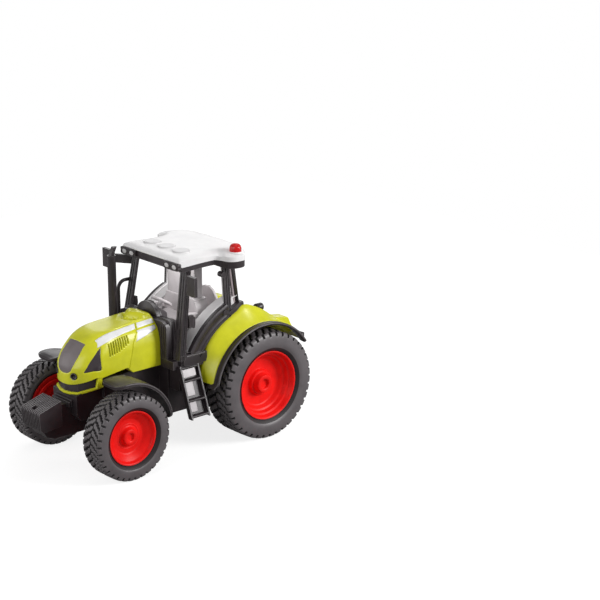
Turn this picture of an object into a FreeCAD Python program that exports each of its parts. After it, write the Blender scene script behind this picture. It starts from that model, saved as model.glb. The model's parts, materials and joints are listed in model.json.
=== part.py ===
import FreeCAD, Part
import math
import os
import Sketcher

# Toy farm tractor, all sizes in millimetres.
# +Z is up, the ground is z = 0, the nose points to -Y and the tractor's left side is +X.
# x = 0 is the middle plane and y = 0 lies half way between the axles.

doc = FreeCAD.newDocument("toy_farm_tractor")
sheet = doc.addObject("Spreadsheet::Sheet", "dim")

DIMENSIONS = {
    "Wheels and axles": [
        ("wheel_base", 121.9, "front axle to rear axle"),
        ("front_tyre_radius", 30.6, "over the lugs"),
        ("front_tyre_width", 20.2, ""),
        ("front_wheel_face", 55.9, "outer face of a front tyre from the middle plane"),
        ("front_rim_radius", 19.4, "over the lip"),
        ("rear_tyre_radius", 40.0, "over the lugs"),
        ("rear_tyre_width", 27.5, ""),
        ("rear_wheel_face", 55.3, "outer face of a rear tyre from the middle plane"),
        ("rear_rim_radius", 25.5, "over the lip"),
        ("rim_recess", 2.3, "rim lip inside the tyre's outer face"),
        ("rim_wall", 1.2, "thickness of the rim's barrel and disc"),
        ("front_dish", 7.0, "depth of the front disc behind its lip"),
        ("rear_dish", 11.0, "depth of the rear disc behind its lip"),
        ("front_disc_radius", 12.5, "flat part of the front disc"),
        ("rear_disc_radius", 16.5, "flat part of the rear disc"),
        ("front_hub_depth", 2.6, "hub's face behind the lip"),
        ("rear_hub_depth", 3.9, "hub's face behind the lip"),
        ("hub_radius", 5.6, ""),
        ("hub_recess_radius", 3.5, "round hollow in the hub's face"),
        ("hub_recess", 2.4, "depth of that hollow"),
        ("hub_web", 4.2, "hub's face to the blind end of its bore"),
        ("pin_radius", 1.5, "steel axle pins"),
        ("running_gap", 0.05, "radial clearance of a wheel on its pin"),
        ("side_gap", 0.6, "wheel hub to the axle beam or case"),
    ],
    "Chassis": [
        ("chassis_half_width", 14.0, "under the hood"),
        ("chassis_front", 18.4, "front face ahead of the front axle"),
        ("chassis_top", 57.0, ""),
        ("belly_height", 27.0, ""),
        ("beam_depth", 12.0, "front axle beam, fore and aft"),
        ("beam_height", 11.0, ""),
        ("case_half_width", "=rear_wheel_face - rear_tyre_width - 3.8", "rear case between the rear wheels"),
        ("case_rear", 25.0, "rear case behind the rear axle"),
        ("platform_top", 69.0, "top of the cab platform"),
        ("platform_thick", 6.0, ""),
    ],
    "Front weight": [
        ("weight_half_width", 11.3, ""),
        ("weight_front", 47.6, "foremost face ahead of the front axle"),
        ("weight_length", 18.6, ""),
        ("weight_top", 53.1, "rear edge of the top"),
        ("weight_slope", 5.7, "drop of the top towards the front"),
        ("weight_bottom", 33.0, ""),
        ("rib_pitch", 1.9, ""),
        ("rib_groove", 0.9, "width and depth of the grooves between ribs"),
        ("notch_size", 5.0, ""),
    ],
    "Hood": [
        ("hood_half_width", 20.0, ""),
        ("hood_bottom", 61.0, "lowest point of the chin"),
        ("nose_reach", 19.4, "foremost point ahead of the front axle"),
        ("hood_rise", 36.0, "top of the hood over its foot, ahead of the dome"),
        ("dome_height", 4.2, "raised middle over the rear of the hood"),
        ("skin", 0.5, "grille and vents stand proud of the hood"),
        ("hood_panel_gap", 0.9, "seam between the hood's front and rear panels"),
        ("band_drop", 4.1, "foot of the nose band under the hood, at its front"),
        ("lip_drop", 6.9, "foot of the green lip under the hood, at its front"),
        ("cowl_half_width", 27.4, ""),
        ("cowl_shoulder", 97.5, "top of the cowl beside its arch"),
        ("cowl_arch_half_width", 12.2, ""),
        ("cowl_top", 105.6, ""),
        ("cowl_thick", 8.0, ""),
    ],
    "Cab": [
        ("cab_front", 69.0, "front face of the front pillars ahead of the rear axle"),
        ("cab_half_width", 38.0, ""),
        ("cab_wall", 3.6, "thickness of the side frames"),
        ("pillar_lean_back", 10.6, "top of a front pillar behind its foot"),
        ("pillar_lean_in", 4.4, "top of a front or middle pillar inside its foot"),
        ("mid_pillar_front", 25.3, "front face of the middle pillars ahead of the rear axle"),
        ("mid_pillar_depth", 5.2, ""),
        ("rear_pillar_top", 17.0, "rear pillar's top ahead of the rear axle"),
        ("rear_pillar_foot", 11.6, "rear pillar's foot ahead of the rear axle"),
        ("rear_pillar_depth", 2.4, ""),
        ("rear_pillar_offset", 32.8, "outer face of a rear pillar from the middle plane"),
        ("arch_width", 14.4, "black frame over the wheel arch, at the door"),
        ("sill_height", 3.4, ""),
        ("roof_base", 132.0, "underside of the roof frame"),
        ("roof_frame_height", 6.2, "at the front"),
        ("roof_frame_side", 3.4, "height of the frame at the sides and rear"),
        ("roof_shell_height", 4.0, ""),
        ("roof_half_width", 33.2, "front part of the roof"),
        ("roof_wing_half_width", 45.0, "rear wings of the roof"),
        ("roof_front", 64.4, "front edge ahead of the rear axle"),
        ("roof_wing_front", 30.0, "where the wings begin, ahead of the rear axle"),
        ("roof_rear", 1.0, "rear edge ahead of the rear axle"),
        ("button_radius", 6.5, ""),
        ("button_pitch", 16.5, ""),
        ("button_stand", 1.0, ""),
        ("button_ahead", 49.3, "ahead of the rear axle"),
        ("beacon_radius", 4.3, ""),
        ("beacon_offset", 38.2, "from the middle plane"),
        ("beacon_ahead", 17.6, "ahead of the rear axle"),
        ("beacon_drop", 1.7, "foot of the beacon under the roof's top"),
    ],
    "Fenders": [
        ("fender_gap", 4.3, "rear tyre to the black lip"),
        ("fender_lip", 2.2, "thickness of the black lip"),
        ("fender_skin", 2.0, ""),
        ("fender_outer", 50.4, "outer edge from the middle plane"),
        ("fender_inner", 31.0, "crown's inner edge from the middle plane"),
        ("fender_crown", 2.0, "radius of the crown's inner edge over that of the outer edge"),
        ("fender_lift", 4.5, "centre of the crown's inner edge above the axle"),
        ("fender_wall_face", "=rear_wheel_face - rear_tyre_width - 1.2", "outer side of the inner wall"),
        ("front_fender_gap", 6.0, "front tyre to its fender"),
        ("front_fender_inner", 29.0, "inner edge from the middle plane"),
    ],
    "Small pieces": [
        ("exhaust_radius", 3.1, ""),
        ("exhaust_offset", 28.0, "from the middle plane, on the right"),
        ("exhaust_ahead", 77.6, "ahead of the rear axle"),
        ("exhaust_top", 135.0, "where the tip starts to bend"),
        ("rail_radius", 1.3, "handrail"),
        ("rail_top", 113.0, ""),
        ("mirror_width", 8.6, ""),
        ("mirror_height", 14.0, ""),
        ("mirror_outer", 54.0, "from the middle plane"),
        ("steering_radius", 8.0, ""),
        ("column_length", 18.0, "steering column"),
        ("hitch_reach", 47.6, "rear end of the drawbar behind the rear axle"),
        ("hitch_bore", 2.2, "radius of the drawbar's hole"),
        ("hitch_thick", 3.0, ""),
        ("hitch_height", 33.0, "underside of the drawbar"),
    ],
}


def fill_sheet():
    """Puts every driving dimension in the spreadsheet: a note, its name and its value."""
    row = 1
    for group, entries in DIMENSIONS.items():
        sheet.set("A%d" % row, group)
        row += 1
        for name, number, note in entries:
            sheet.set("A%d" % row, note or name.replace("_", " "))
            sheet.set("B%d" % row, str(number))
            sheet.setAlias("B%d" % row, name)
            row += 1
    doc.recompute()


def value(expression):
    """The number that an expression over the sheet gives."""
    return float(sheet.evalExpression(expression))


# Places that several pieces share, as expressions over the sheet.
front_axle = "(-dim.wheel_base / 2)"
rear_axle = "(dim.wheel_base / 2)"
cab_front = "(dim.wheel_base / 2 - dim.cab_front)"
hood_rear = "(dim.wheel_base / 2 - dim.cab_front - 3)"
nose_front = "(-dim.wheel_base / 2 - dim.nose_reach)"
lip_radius = "(dim.rear_tyre_radius + dim.fender_gap)"
fender_radius = "(dim.rear_tyre_radius + dim.fender_gap + dim.fender_lip)"
arch_radius = ("(dim.rear_tyre_radius + dim.fender_gap + dim.fender_lip + dim.fender_crown + dim.fender_lift"
               " + dim.fender_skin + 0.1)")
front_fender_radius = "(dim.front_tyre_radius + dim.front_fender_gap)"
roof_frame_top = "(dim.roof_base + dim.roof_frame_height)"
roof_top = "(dim.roof_base + dim.roof_frame_height + dim.roof_shell_height)"
beacon_line = "(%s - dim.beacon_ahead)" % rear_axle
beacon_foot = "(%s - dim.beacon_drop)" % roof_top
platform_floor = "(dim.platform_top - dim.platform_thick)"
fender_foot = "(%s - sqrt(%s ^ 2 - (dim.rear_tyre_radius - %s) ^ 2))" % (
    rear_axle, arch_radius, platform_floor)
button_line = "(%s - dim.button_ahead)" % rear_axle

PLANES = {"x": "YZ_Plane", "y": "XZ_Plane", "z": "XY_Plane"}
pieces = []


def keep(item, name):
    """Names a finished sub-part and lists it for export."""
    item.Label = name
    pieces.append(item)
    return item


def new_body(name, finished=True):
    """A PartDesign body. One that is not finished is trimmed further before it is a sub-part."""
    body = doc.addObject("PartDesign::Body", name if finished else name + "_rough")
    return keep(body, name) if finished else body


def trimmed(name, rough, *seats):
    """The rough piece less the pieces that it seats on."""
    for count, seat in enumerate(seats):
        cut = doc.addObject("Part::Cut", name if count == len(seats) - 1 else "%s_trim_%d" % (name, count))
        cut.Base = rough
        cut.Tool = seat
        rough = cut
    return keep(rough, name)


def named(name):
    """A finished sub-part by its name."""
    return [piece for piece in pieces if piece.Label == name][0]


def mirrored(source, name):
    """The right-hand twin of a left-hand piece."""
    twin = doc.addObject("Part::Mirroring", name)
    twin.Source = source
    twin.Normal = (1, 0, 0)
    return keep(twin, name)


def new_sketch(body, name, axis, offset):
    """Sketch square to an axis. Across y the plane's normal is -Y, so the offset counts backwards."""
    sketch = body.newObject("Sketcher::SketchObject", name)
    plane = [item for item in body.Origin.OriginFeatures if item.Role == PLANES[axis]][0]
    sketch.AttachmentSupport = [(plane, "")]
    sketch.MapMode = "FlatFace"
    sketch.setExpression("AttachmentOffset.Base.z", offset)
    return sketch


def bind(sketch, constraint, expression):
    sketch.setExpression("Constraints[%d]" % constraint, expression)


def draw_circle(sketch, across, up, radius):
    centre = FreeCAD.Vector(value(across), value(up), 0)
    circle = Part.Circle(centre, FreeCAD.Vector(0, 0, 1), value(radius))
    index = sketch.addGeometry(circle, False)
    bind(sketch, sketch.addConstraint(Sketcher.Constraint("DistanceX", -1, 1, index, 3, centre.x)), across)
    bind(sketch, sketch.addConstraint(Sketcher.Constraint("DistanceY", -1, 1, index, 3, centre.y)), up)
    bind(sketch, sketch.addConstraint(Sketcher.Constraint("Radius", index, value(radius))), radius)


def arc_between(start, end, radius, turn):
    """Arc shorter than half a circle from start to end: turn is 1 counter-clockwise, -1 clockwise."""
    chord = end - start
    rise = math.sqrt(max(radius ** 2 - (chord.Length / 2) ** 2, 0))
    side = FreeCAD.Vector(-chord.y, chord.x, 0).normalize() * turn
    centre = (start + end) / 2 + side * rise
    first, last = (start, end) if turn > 0 else (end, start)
    angles = [math.atan2(point.y - centre.y, point.x - centre.x) for point in (first, last)]
    return Part.ArcOfCircle(Part.Circle(centre, FreeCAD.Vector(0, 0, 1), radius), *angles)


def draw_outline(sketch, corners):
    """Closed outline through corners (across, up). A corner with a radius and a turn starts an arc."""
    points = [FreeCAD.Vector(value(corner[0]), value(corner[1]), 0) for corner in corners]
    first = sketch.GeometryCount
    ends = []
    for place, corner in enumerate(corners):
        start, end = points[place], points[(place + 1) % len(points)]
        if len(corner) == 2:
            sketch.addGeometry(Part.LineSegment(start, end), False)
            ends.append((1, 2))
        else:
            sketch.addGeometry(arc_between(start, end, value(corner[2]), corner[3]), False)
            ends.append((1, 2) if corner[3] > 0 else (2, 1))
    for place, corner in enumerate(corners):
        here, after = first + place, first + (place + 1) % len(corners)
        start_end, after_start = ends[place], ends[(place + 1) % len(corners)][0]
        sketch.addConstraint(Sketcher.Constraint("Coincident", here, start_end[1], after, after_start))
        for kind, number, expression in (("DistanceX", points[place].x, corner[0]),
                                         ("DistanceY", points[place].y, corner[1])):
            index = sketch.addConstraint(Sketcher.Constraint(kind, -1, 1, here, start_end[0], number))
            bind(sketch, index, expression)
        if len(corner) > 2:
            index = sketch.addConstraint(Sketcher.Constraint("Radius", here, value(corner[2])))
            bind(sketch, index, corner[2])


def draw(sketch, profiles):
    """Draws each profile: three expressions are a circle, anything else is an outline."""
    for profile in profiles:
        if isinstance(profile, tuple):
            draw_circle(sketch, *profile)
        else:
            draw_outline(sketch, profile)


def pad(body, name, axis, low, high, *profiles):
    """Solid between two planes square to an axis."""
    start = "-(%s)" % high if axis == "y" else low
    sketch = new_sketch(body, name + "_sketch", axis, start)
    draw(sketch, profiles)
    feature = body.newObject("PartDesign::Pad", name)
    feature.Profile = sketch
    feature.setExpression("Length", "(%s) - (%s)" % (high, low))
    return feature


def pocket(body, name, axis, low, high, *profiles):
    """Cut between two planes square to an axis."""
    doc.recompute()
    before = body.Tip.Shape.Volume
    start = "-(%s)" % low if axis == "y" else high
    sketch = new_sketch(body, name + "_sketch", axis, start)
    draw(sketch, profiles)
    feature = body.newObject("PartDesign::Pocket", name)
    feature.Profile = sketch
    feature.setExpression("Length", "(%s) - (%s)" % (high, low))
    doc.recompute()
    if feature.Shape.Volume >= before:
        raise RuntimeError(name + " cuts nothing")
    return feature


def loft(body, name, axis, *levels):
    """Ruled solid through outlines with the same number of corners: a level is (offset, outline)."""
    sketches = []
    for count, (offset, outline) in enumerate(levels):
        sketch = new_sketch(body, "%s_sketch_%d" % (name, count), axis, offset)
        draw(sketch, [outline])
        sketches.append(sketch)
    feature = body.newObject("PartDesign::AdditiveLoft", name)
    feature.Profile = sketches[0]
    feature.Sections = sketches[1:]
    feature.Ruled = True
    return feature


def turned(body, name, corners):
    """Solid of revolution about the body's X axis: a corner is (along x, radius)."""
    sketch = new_sketch(body, name + "_sketch", "z", "0")
    draw(sketch, [corners])
    feature = body.newObject("PartDesign::Revolution", name)
    feature.Profile = sketch
    feature.ReferenceAxis = (sketch, ["H_Axis"])
    feature.Angle = 360
    return feature


def round_edges(body, name, radius, chosen):
    """Fillets the edges of the body so far for which chosen(middle, direction) is true."""
    doc.recompute()
    base = body.Tip
    names = []
    for index, edge in enumerate(base.Shape.Edges):
        middle = edge.valueAt((edge.FirstParameter + edge.LastParameter) / 2)
        direction = edge.tangentAt((edge.FirstParameter + edge.LastParameter) / 2)
        if chosen(middle, direction):
            names.append("Edge%d" % (index + 1))
    feature = body.newObject("PartDesign::Fillet", name)
    feature.Base = (base, names)
    feature.setExpression("Radius", radius)
    return feature


def box(left, front, right, rear):
    """Rectangle for a sketch from its lowest and highest coordinates."""
    return [(left, front), (right, front), (right, rear), (left, rear)]


def at(number, offset):
    """An expression moved by a plain number or another expression."""
    return "%s + (%s)" % (number, offset)


def polar(centre_across, centre_up, radius, degrees):
    """Point on a circle, as a pair of expressions."""
    turn = math.radians(degrees)
    return ("%s + %s * %.6f" % (centre_across, radius, math.cos(turn)),
            "%s + %s * %.6f" % (centre_up, radius, math.sin(turn)))


def ring_sector(centre_across, centre_up, inner, outer, low, high):
    """Outline of a curved band about a centre, between two angles less than 180 degrees apart."""
    return [polar(centre_across, centre_up, inner, high) + (inner, -1),
            polar(centre_across, centre_up, inner, low),
            polar(centre_across, centre_up, outer, low) + (outer, 1),
            polar(centre_across, centre_up, outer, high)]


def front_chassis():
    """Solid spine under the hood, down to the front axle beam."""
    body = new_body("front_chassis")
    front = "(%s - dim.chassis_front)" % front_axle
    beam_top = "(dim.front_tyre_radius + dim.beam_height / 2)"
    lip_foot = chin_line("dim.lip_drop", "5.3")
    front_top = "(%s + (dim.nose_reach + 1 - dim.chassis_front) / 19.4 * 5.3)" % lip_foot[0][1]
    side = [(front, front_top), (front, at(beam_top, "4")), (at(front, "3"), beam_top),
            (at(front_axle, "dim.beam_depth / 2 + 2"), beam_top),
            (at(front_axle, "dim.beam_depth / 2 + 12"), "dim.belly_height"),
            (cab_front, "dim.belly_height"), (cab_front, "dim.platform_top - dim.platform_thick"),
            (at(cab_front, "-22"), "dim.platform_top - dim.platform_thick"),
            (at(nose_front, "20.2"), lip_foot[1][1]), lip_foot[1]]
    pad(body, "spine", "x", "-dim.chassis_half_width", "dim.chassis_half_width", side)


def rear_chassis():
    """Case between the rear wheels, with the bore of the rear axle pin."""
    body = new_body("rear_chassis")
    floor = "dim.platform_top - dim.platform_thick"
    rear = "(%s + dim.case_rear)" % rear_axle
    side = [(cab_front, "dim.belly_height"), (at(rear_axle, "-24"), "dim.belly_height"),
            (at(rear_axle, "-12"), "dim.rear_tyre_radius - 12"), (rear, "dim.rear_tyre_radius - 12"),
            (rear, "dim.rear_tyre_radius + 12"), (at(rear_axle, "14"), floor), (cab_front, floor)]
    pad(body, "case", "x", "-dim.case_half_width", "dim.case_half_width", side)
    bore = (rear_axle, "dim.rear_tyre_radius", "dim.pin_radius")
    pocket(body, "pin_bore", "x", "-dim.case_half_width - 1", "dim.case_half_width + 1", bore)


def front_axle_beam():
    body = new_body("front_axle_beam")
    reach = "(dim.front_wheel_face - dim.front_tyre_width - dim.side_gap - 0.4)"
    beam = box("%s - dim.beam_depth / 2" % front_axle, "dim.front_tyre_radius - dim.beam_height / 2",
               "%s + dim.beam_depth / 2" % front_axle, "dim.front_tyre_radius + dim.beam_height / 2")
    pad(body, "beam", "x", "-" + reach, reach, beam)
    pocket(body, "pin_bore", "x", "-%s - 1" % reach, "%s + 1" % reach,
           (front_axle, "dim.front_tyre_radius", "dim.pin_radius"))


def axle_pin(name, wheel_face, hub_depth, axle, height):
    """Steel pin that carries both wheels, with chamfered ends inside their hubs."""
    body = new_body(name)
    end = "(%s - dim.rim_recess - %s - dim.hub_web - 0.4)" % (wheel_face, hub_depth)
    turned(body, "pin", [("-" + end, "0"), (end, "0"), (end, "dim.pin_radius - 0.4"),
                         (at(end, "-0.4"), "dim.pin_radius"),
                         ("0.4 - " + end, "dim.pin_radius"), ("-" + end, "dim.pin_radius - 0.4")])
    place(body, axle, height)


def place(body, y, z):
    """Puts a turned body's axis at its place."""
    body.setExpression("Placement.Base.y", y)
    body.setExpression("Placement.Base.z", z)


def wheel(end, axle, inner_end):
    """Rim and tyre of the left wheel at one end, and their right-hand twins."""
    face, width, lip, dish, flat, tyre_radius, hub_depth = (
        "dim.%s_%s" % (end, name) for name in ("wheel_face", "tyre_width", "rim_radius", "dish",
                                               "disc_radius", "tyre_radius", "hub_depth"))
    bore = "dim.pin_radius + dim.running_gap"
    edge = "(%s - dim.rim_recess)" % face
    inner = "(%s - %s)" % (face, width)
    disc = "(%s - %s)" % (edge, dish)
    hub_face = "(%s - %s)" % (edge, hub_depth)
    floor = "(%s - dim.hub_recess)" % hub_face
    blind = "(%s - dim.hub_web)" % hub_face
    barrel = "(%s - 1.6)" % lip
    inside = "(%s - 1.6 - dim.rim_wall)" % lip
    step = at(disc, dish + " * 0.4")
    rim = new_body("rim_%s_left" % end)
    turned(rim, "rim", [
        (inner_end, bore), (blind, bore), (blind, "0"), (floor, "0"), (floor, "dim.hub_recess_radius"),
        (hub_face, "dim.hub_recess_radius"), (hub_face, "dim.hub_radius"),
        (disc, "dim.hub_radius + 2"), (disc, flat), (step, at(flat, "1")), (step, at(flat, "2.4")),
        (at(edge, "-1"), at(inside, "-0.6")), (edge, inside), (edge, lip), (at(edge, "-1.4"), lip),
        (at(edge, "-1.4"), barrel), (at(inner, "1"), barrel), (at(inner, "1"), inside),
        (at(disc, "-dim.rim_wall - 1"), inside), (at(disc, "-dim.rim_wall - 1"), "dim.hub_radius"),
        (inner_end, "dim.hub_radius")])
    place(rim, axle, tyre_radius)
    tyre = new_body("tyre_%s_left" % end)
    shoulder = "(%s - 3.5)" % tyre_radius
    bulge = "(%s + %s) / 2" % (lip, tyre_radius)
    turned(tyre, "tyre", [
        (at(inner, "1"), barrel), (at(edge, "-1.4"), barrel), (at(edge, "-1.4"), lip), (edge, at(lip, "0.3")),
        (face, bulge), (at(face, "-0.8"), shoulder), (at(face, "-4"), at(tyre_radius, "-0.4")),
        ("%s - %s / 2" % (face, width), tyre_radius), (at(inner, "4"), at(tyre_radius, "-0.4")),
        (at(inner, "0.8"), shoulder), (inner, bulge), (at(inner, "1"), lip)])
    place(tyre, axle, tyre_radius)
    mirrored(rim, "rim_%s_right" % end)
    mirrored(tyre, "tyre_%s_right" % end)


def front_weight():
    """Ribbed weight block ahead of the nose, with a notch in its top."""
    body = new_body("front_weight")
    front = "(%s - dim.weight_front)" % front_axle
    rear = "(%s + dim.weight_length)" % front
    low_top = "(dim.weight_top - dim.weight_slope)"
    across = "dim.weight_half_width"
    side = [(at(front, "2.4"), low_top), (front, at(low_top, "-4.4")), (at(front, "1.6"), "dim.weight_bottom + 3"),
            (at(front, "3.5"), "dim.weight_bottom"), (rear, "dim.weight_bottom + 2"), (rear, "dim.weight_top")]
    pad(body, "block", "x", "-" + across, across, side)
    cover = [(at(front, "-1"), "dim.weight_bottom + 6"), (at(front, "dim.rib_groove"), "dim.weight_bottom + 6"),
             (at(front, "dim.rib_groove"), at(low_top, "-4.4")),
             (at(front, "2.4 + dim.rib_groove"), at(low_top, "-dim.rib_groove")),
             (at(rear, "-2"), "dim.weight_top - dim.rib_groove"), (at(rear, "-2"), "dim.weight_top + 2"),
             (at(front, "-1"), "dim.weight_top + 2")]
    groove = pocket(body, "groove", "x", "-dim.rib_pitch * 4.5 - dim.rib_groove / 2",
                    "-dim.rib_pitch * 4.5 + dim.rib_groove / 2", cover)
    ribs = body.newObject("PartDesign::LinearPattern", "ribs")
    ribs.Originals = [groove]
    ribs.Direction = (groove.Profile[0], ["N_Axis"])
    ribs.setExpression("Length", "dim.rib_pitch * 9")
    ribs.Occurrences = 10
    body.Tip = ribs
    doc.recompute()
    if ribs.Shape.BoundBox.XMax < ribs.Shape.BoundBox.XMin or ribs.Shape.Volume >= groove.Shape.Volume:
        ribs.Reversed = True
    pocket(body, "notch", "z", low_top + " - 3", "dim.weight_top + 1",
           box("-dim.notch_size / 2", at(front, "5"), "dim.notch_size / 2", at(front, "5 + dim.notch_size")))


def weight_bracket():
    """Stepped block that joins the weight to the chassis."""
    body = new_body("weight_bracket", False)
    rear = "(%s - dim.chassis_front)" % front_axle
    front = "(%s - dim.weight_front + dim.weight_length)" % front_axle
    side = [(front, "dim.weight_bottom + 4"), (rear, "dim.weight_bottom + 10"), (rear, "dim.weight_top + 2.6"),
            (at(rear, "-4.5"), "dim.weight_top + 2.6"), (at(rear, "-4.5"), "dim.weight_top + 1"),
            (front, "dim.weight_top + 1")]
    pad(body, "block", "x", "-dim.weight_half_width - 1.5", "dim.weight_half_width + 1.5", side)
    trimmed("weight_bracket", body, named("nose_lip"))


def nose_plan(setback, half, roundness):
    """Plan of the hood at one height: square behind, the nose's corners rounded by a share of its half width."""
    front = "(%s + %s)" % (nose_front, setback)
    round_radius = "(%g * %s)" % (roundness, half)
    side_start = "(%s + %s)" % (front, round_radius)
    flat = "(%s - %s)" % (half, round_radius)
    return [("-" + half, hood_rear), (half, hood_rear), (half, side_start, round_radius, -1), (flat, front),
            ("-" + flat, front, round_radius, -1), ("-" + half, side_start)]


def hood_cover(body, grow="0"):
    """The hood's curved skin, lofted from its foot to its top: each level's nose is set further back."""
    levels = [(0, 0, 0, 0.925), (0.3, 0.5, 0, 0.925), (0.415, 1.9, 0.1, 0.92), (0.525, 4.1, 0.2, 0.91),
              (0.685, 9.2, 1.2, 0.88), (0.805, 14.4, 2.8, 0.83), (0.92, 24, 6.6, 0.71), (1, 52, 9.6, 0.58)]
    loft(body, "cover", "z", *[
        ("dim.hood_bottom + dim.hood_rise * %g + (%s) * %g" % (share, grow, share),
         nose_plan("%g - (%s)" % (back, grow), "(dim.hood_half_width - %g + (%s))" % (narrower, grow), corner))
        for share, back, narrower, corner in levels])


def hood():
    """Closed engine cover: its foot steps up over the front axle, and one seam crosses each side."""
    body = new_body("hood")
    hood_cover(body)
    top = "(dim.hood_bottom + dim.hood_rise)"
    loft(body, "dome", "z", *[
        (at(top, height), [("-" + half, hood_rear), (half, hood_rear), (half, at(hood_rear, corner)),
                           ("0", at(hood_rear, tip)), ("-" + half, at(hood_rear, corner))])
        for height, half, corner, tip in (("-1", "10.5", "-13.5", "-18"), ("dim.dome_height", "6", "-7", "-9"))])
    outer = "dim.hood_half_width + 1"
    foot = [(at(nose_front, "-1"), "dim.hood_bottom - 1"), (at(hood_rear, "1"), "dim.hood_bottom - 1"),
            (at(hood_rear, "1"), "dim.hood_bottom + 2.6"), (at(hood_rear, "-24.2"), "dim.hood_bottom + 2.6"),
            (at(hood_rear, "-28.5"), "dim.hood_bottom + 7"), (at(nose_front, "20"), "dim.hood_bottom + 4.3"),
            (at(nose_front, "17"), "dim.hood_bottom + 5.4"), (at(nose_front, "10.5"), "dim.hood_bottom + 4"),
            (at(nose_front, "4.2"), "dim.hood_bottom + 1.8"), (at(nose_front, "-1"), "dim.hood_bottom + 0.1")]
    pocket(body, "foot", "x", "-(%s)" % outer, outer, foot)
    seam = [(at(hood_rear, "-22.8"), at(top, "-12")), (at(hood_rear, "-28.5 - dim.hood_panel_gap"), "dim.hood_bottom"),
            (at(hood_rear, "-28.5"), "dim.hood_bottom"), (at(hood_rear, "-22.8 + dim.hood_panel_gap"), at(top, "-12"))]
    pocket(body, "seam_left", "x", "dim.hood_half_width - 0.5", outer, seam)
    pocket(body, "seam_right", "x", "-(%s)" % outer, "0.5 - dim.hood_half_width", seam)


def hood_panel(name, *profile):
    """A thin dark panel on the hood: the part of a prism within the hood's skin grown by a little."""
    prism = new_body(name + "_prism", False)
    pad(prism, "prism", *profile)
    shell = new_body(name + "_skin", False)
    hood_cover(shell, "dim.skin")
    common = doc.addObject("Part::Common", name + "_common")
    common.Base = prism
    common.Tool = shell
    return trimmed(name, common, named("hood"))


def grille():
    """Dark shield-shaped panel that wraps over the front of the nose."""
    low = "(dim.hood_bottom + 6.8)"
    shield = [("-3.5", low), ("3.5", low), ("7.2", at(low, "3.4")), ("8.9", at(low, "8")), ("9.4", at(low, "15")),
              ("8.8", at(low, "21")), ("-8.8", at(low, "21")), ("-9.4", at(low, "15")), ("-8.9", at(low, "8")),
              ("-7.2", at(low, "3.4"))]
    hood_panel("grille", "y", at(nose_front, "-2"), at(nose_front, "22"), shield)


def chin_line(drop, rise):
    """Side view of a sloping edge under the nose: its front and rear ends, each (y, z)."""
    return [(at(nose_front, "-1"), "dim.hood_bottom - (%s)" % drop),
            (at(nose_front, "18.4"), "dim.hood_bottom - (%s) + %s" % (drop, rise))]


def nose_slice(name, half, setback, rear, upper, lower):
    """A piece with the nose's plan between two sloping lines."""
    body = new_body(name, False)
    plan = nose_plan(setback, half, 0.92)
    plan[0] = ("-" + half, at(nose_front, rear))
    plan[1] = (half, at(nose_front, rear))
    pad(body, "plan", "z", "dim.hood_bottom - dim.lip_drop - 1", "dim.hood_bottom + 6", plan)
    outer = "dim.hood_half_width + 1"
    floor = "dim.hood_bottom - dim.lip_drop - 2"
    below = lower + [(at(nose_front, "22"), lower[1][1]), (at(nose_front, "22"), floor), (at(nose_front, "-1"), floor)]
    pocket(body, "below", "x", "-(%s)" % outer, outer, below)
    if upper:
        above = upper + [(at(nose_front, "22"), upper[1][1]), (at(nose_front, "22"), "dim.hood_bottom + 7"),
                         (at(nose_front, "-1"), "dim.hood_bottom + 7")]
        pocket(body, "above", "x", "-(%s)" % outer, outer, above)
    return trimmed(name, body, named("hood"))


def nose_band():
    """Black band below the hood's chin."""
    nose_slice("nose_band", "(dim.hood_half_width - 1)", "1", "20", None, chin_line("dim.band_drop", "3.6"))


def nose_lip():
    """Green lip along the foot of the band."""
    nose_slice("nose_lip", "(dim.hood_half_width - 0.6)", "0.6", "20",
               chin_line("dim.band_drop", "3.6"), chin_line("dim.lip_drop", "5.3"))


def nose_lamps():
    """Two clear lamp ends in the chin."""
    height = "(dim.hood_bottom + 6.6)"
    lamps = [trimmed_lamp(side, "lamp_" + name, height)
             for name, side in (("left", "1"), ("right", "-1"))]
    compound("nose_lamps", lamps)


def trimmed_lamp(side, name, height):
    """One lamp end, cut back to the hood's skin."""
    turn = math.radians(35)
    direction = (int(side) * math.sin(turn), -math.cos(turn), 0)
    foot = (side + " * 10.6", at(nose_front, "5.6"), height)
    rough = cylinder(name + "_rough", "2.2", "3.6", foot, direction)
    cut = doc.addObject("Part::Cut", name)
    cut.Base = rough
    cut.Tool = named("hood")
    return cut


def side_vent():
    """Dark three-cornered vent let into the hood's side, and its twin."""
    side = [(at(nose_front, "6.5"), "dim.hood_bottom + 9.4"), (at(nose_front, "19"), "dim.hood_bottom + 9.9"),
            (at(nose_front, "20"), "dim.hood_bottom + 25.8"), (at(nose_front, "12.5"), "dim.hood_bottom + 18.8")]
    vent = hood_panel("side_vent_left", "x", "5", "dim.hood_half_width + 2", side)
    mirrored(vent, "side_vent_right")


def cowl():
    """Firewall behind the hood, with an arch over the dashboard."""
    body = new_body("cowl")
    half, arch_half = "dim.cowl_half_width", "dim.cowl_arch_half_width"
    rise = "(dim.cowl_top - dim.cowl_shoulder + 0.6)"
    radius = "(%s / 2 + %s ^ 2 / 2 / %s)" % (rise, arch_half, rise)
    outline = [("-" + half, "dim.platform_top"), (half, "dim.platform_top"), (half, "dim.cowl_shoulder - 3"),
               ("%s - 4" % half, "dim.cowl_shoulder"), (arch_half, "dim.cowl_shoulder - 0.6", radius, 1),
               ("-" + arch_half, "dim.cowl_shoulder - 0.6"), ("4 - %s" % half, "dim.cowl_shoulder"),
               ("-" + half, "dim.cowl_shoulder - 3")]
    pad(body, "arch", "y", hood_rear, at(hood_rear, "dim.cowl_thick"), outline)


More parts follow.
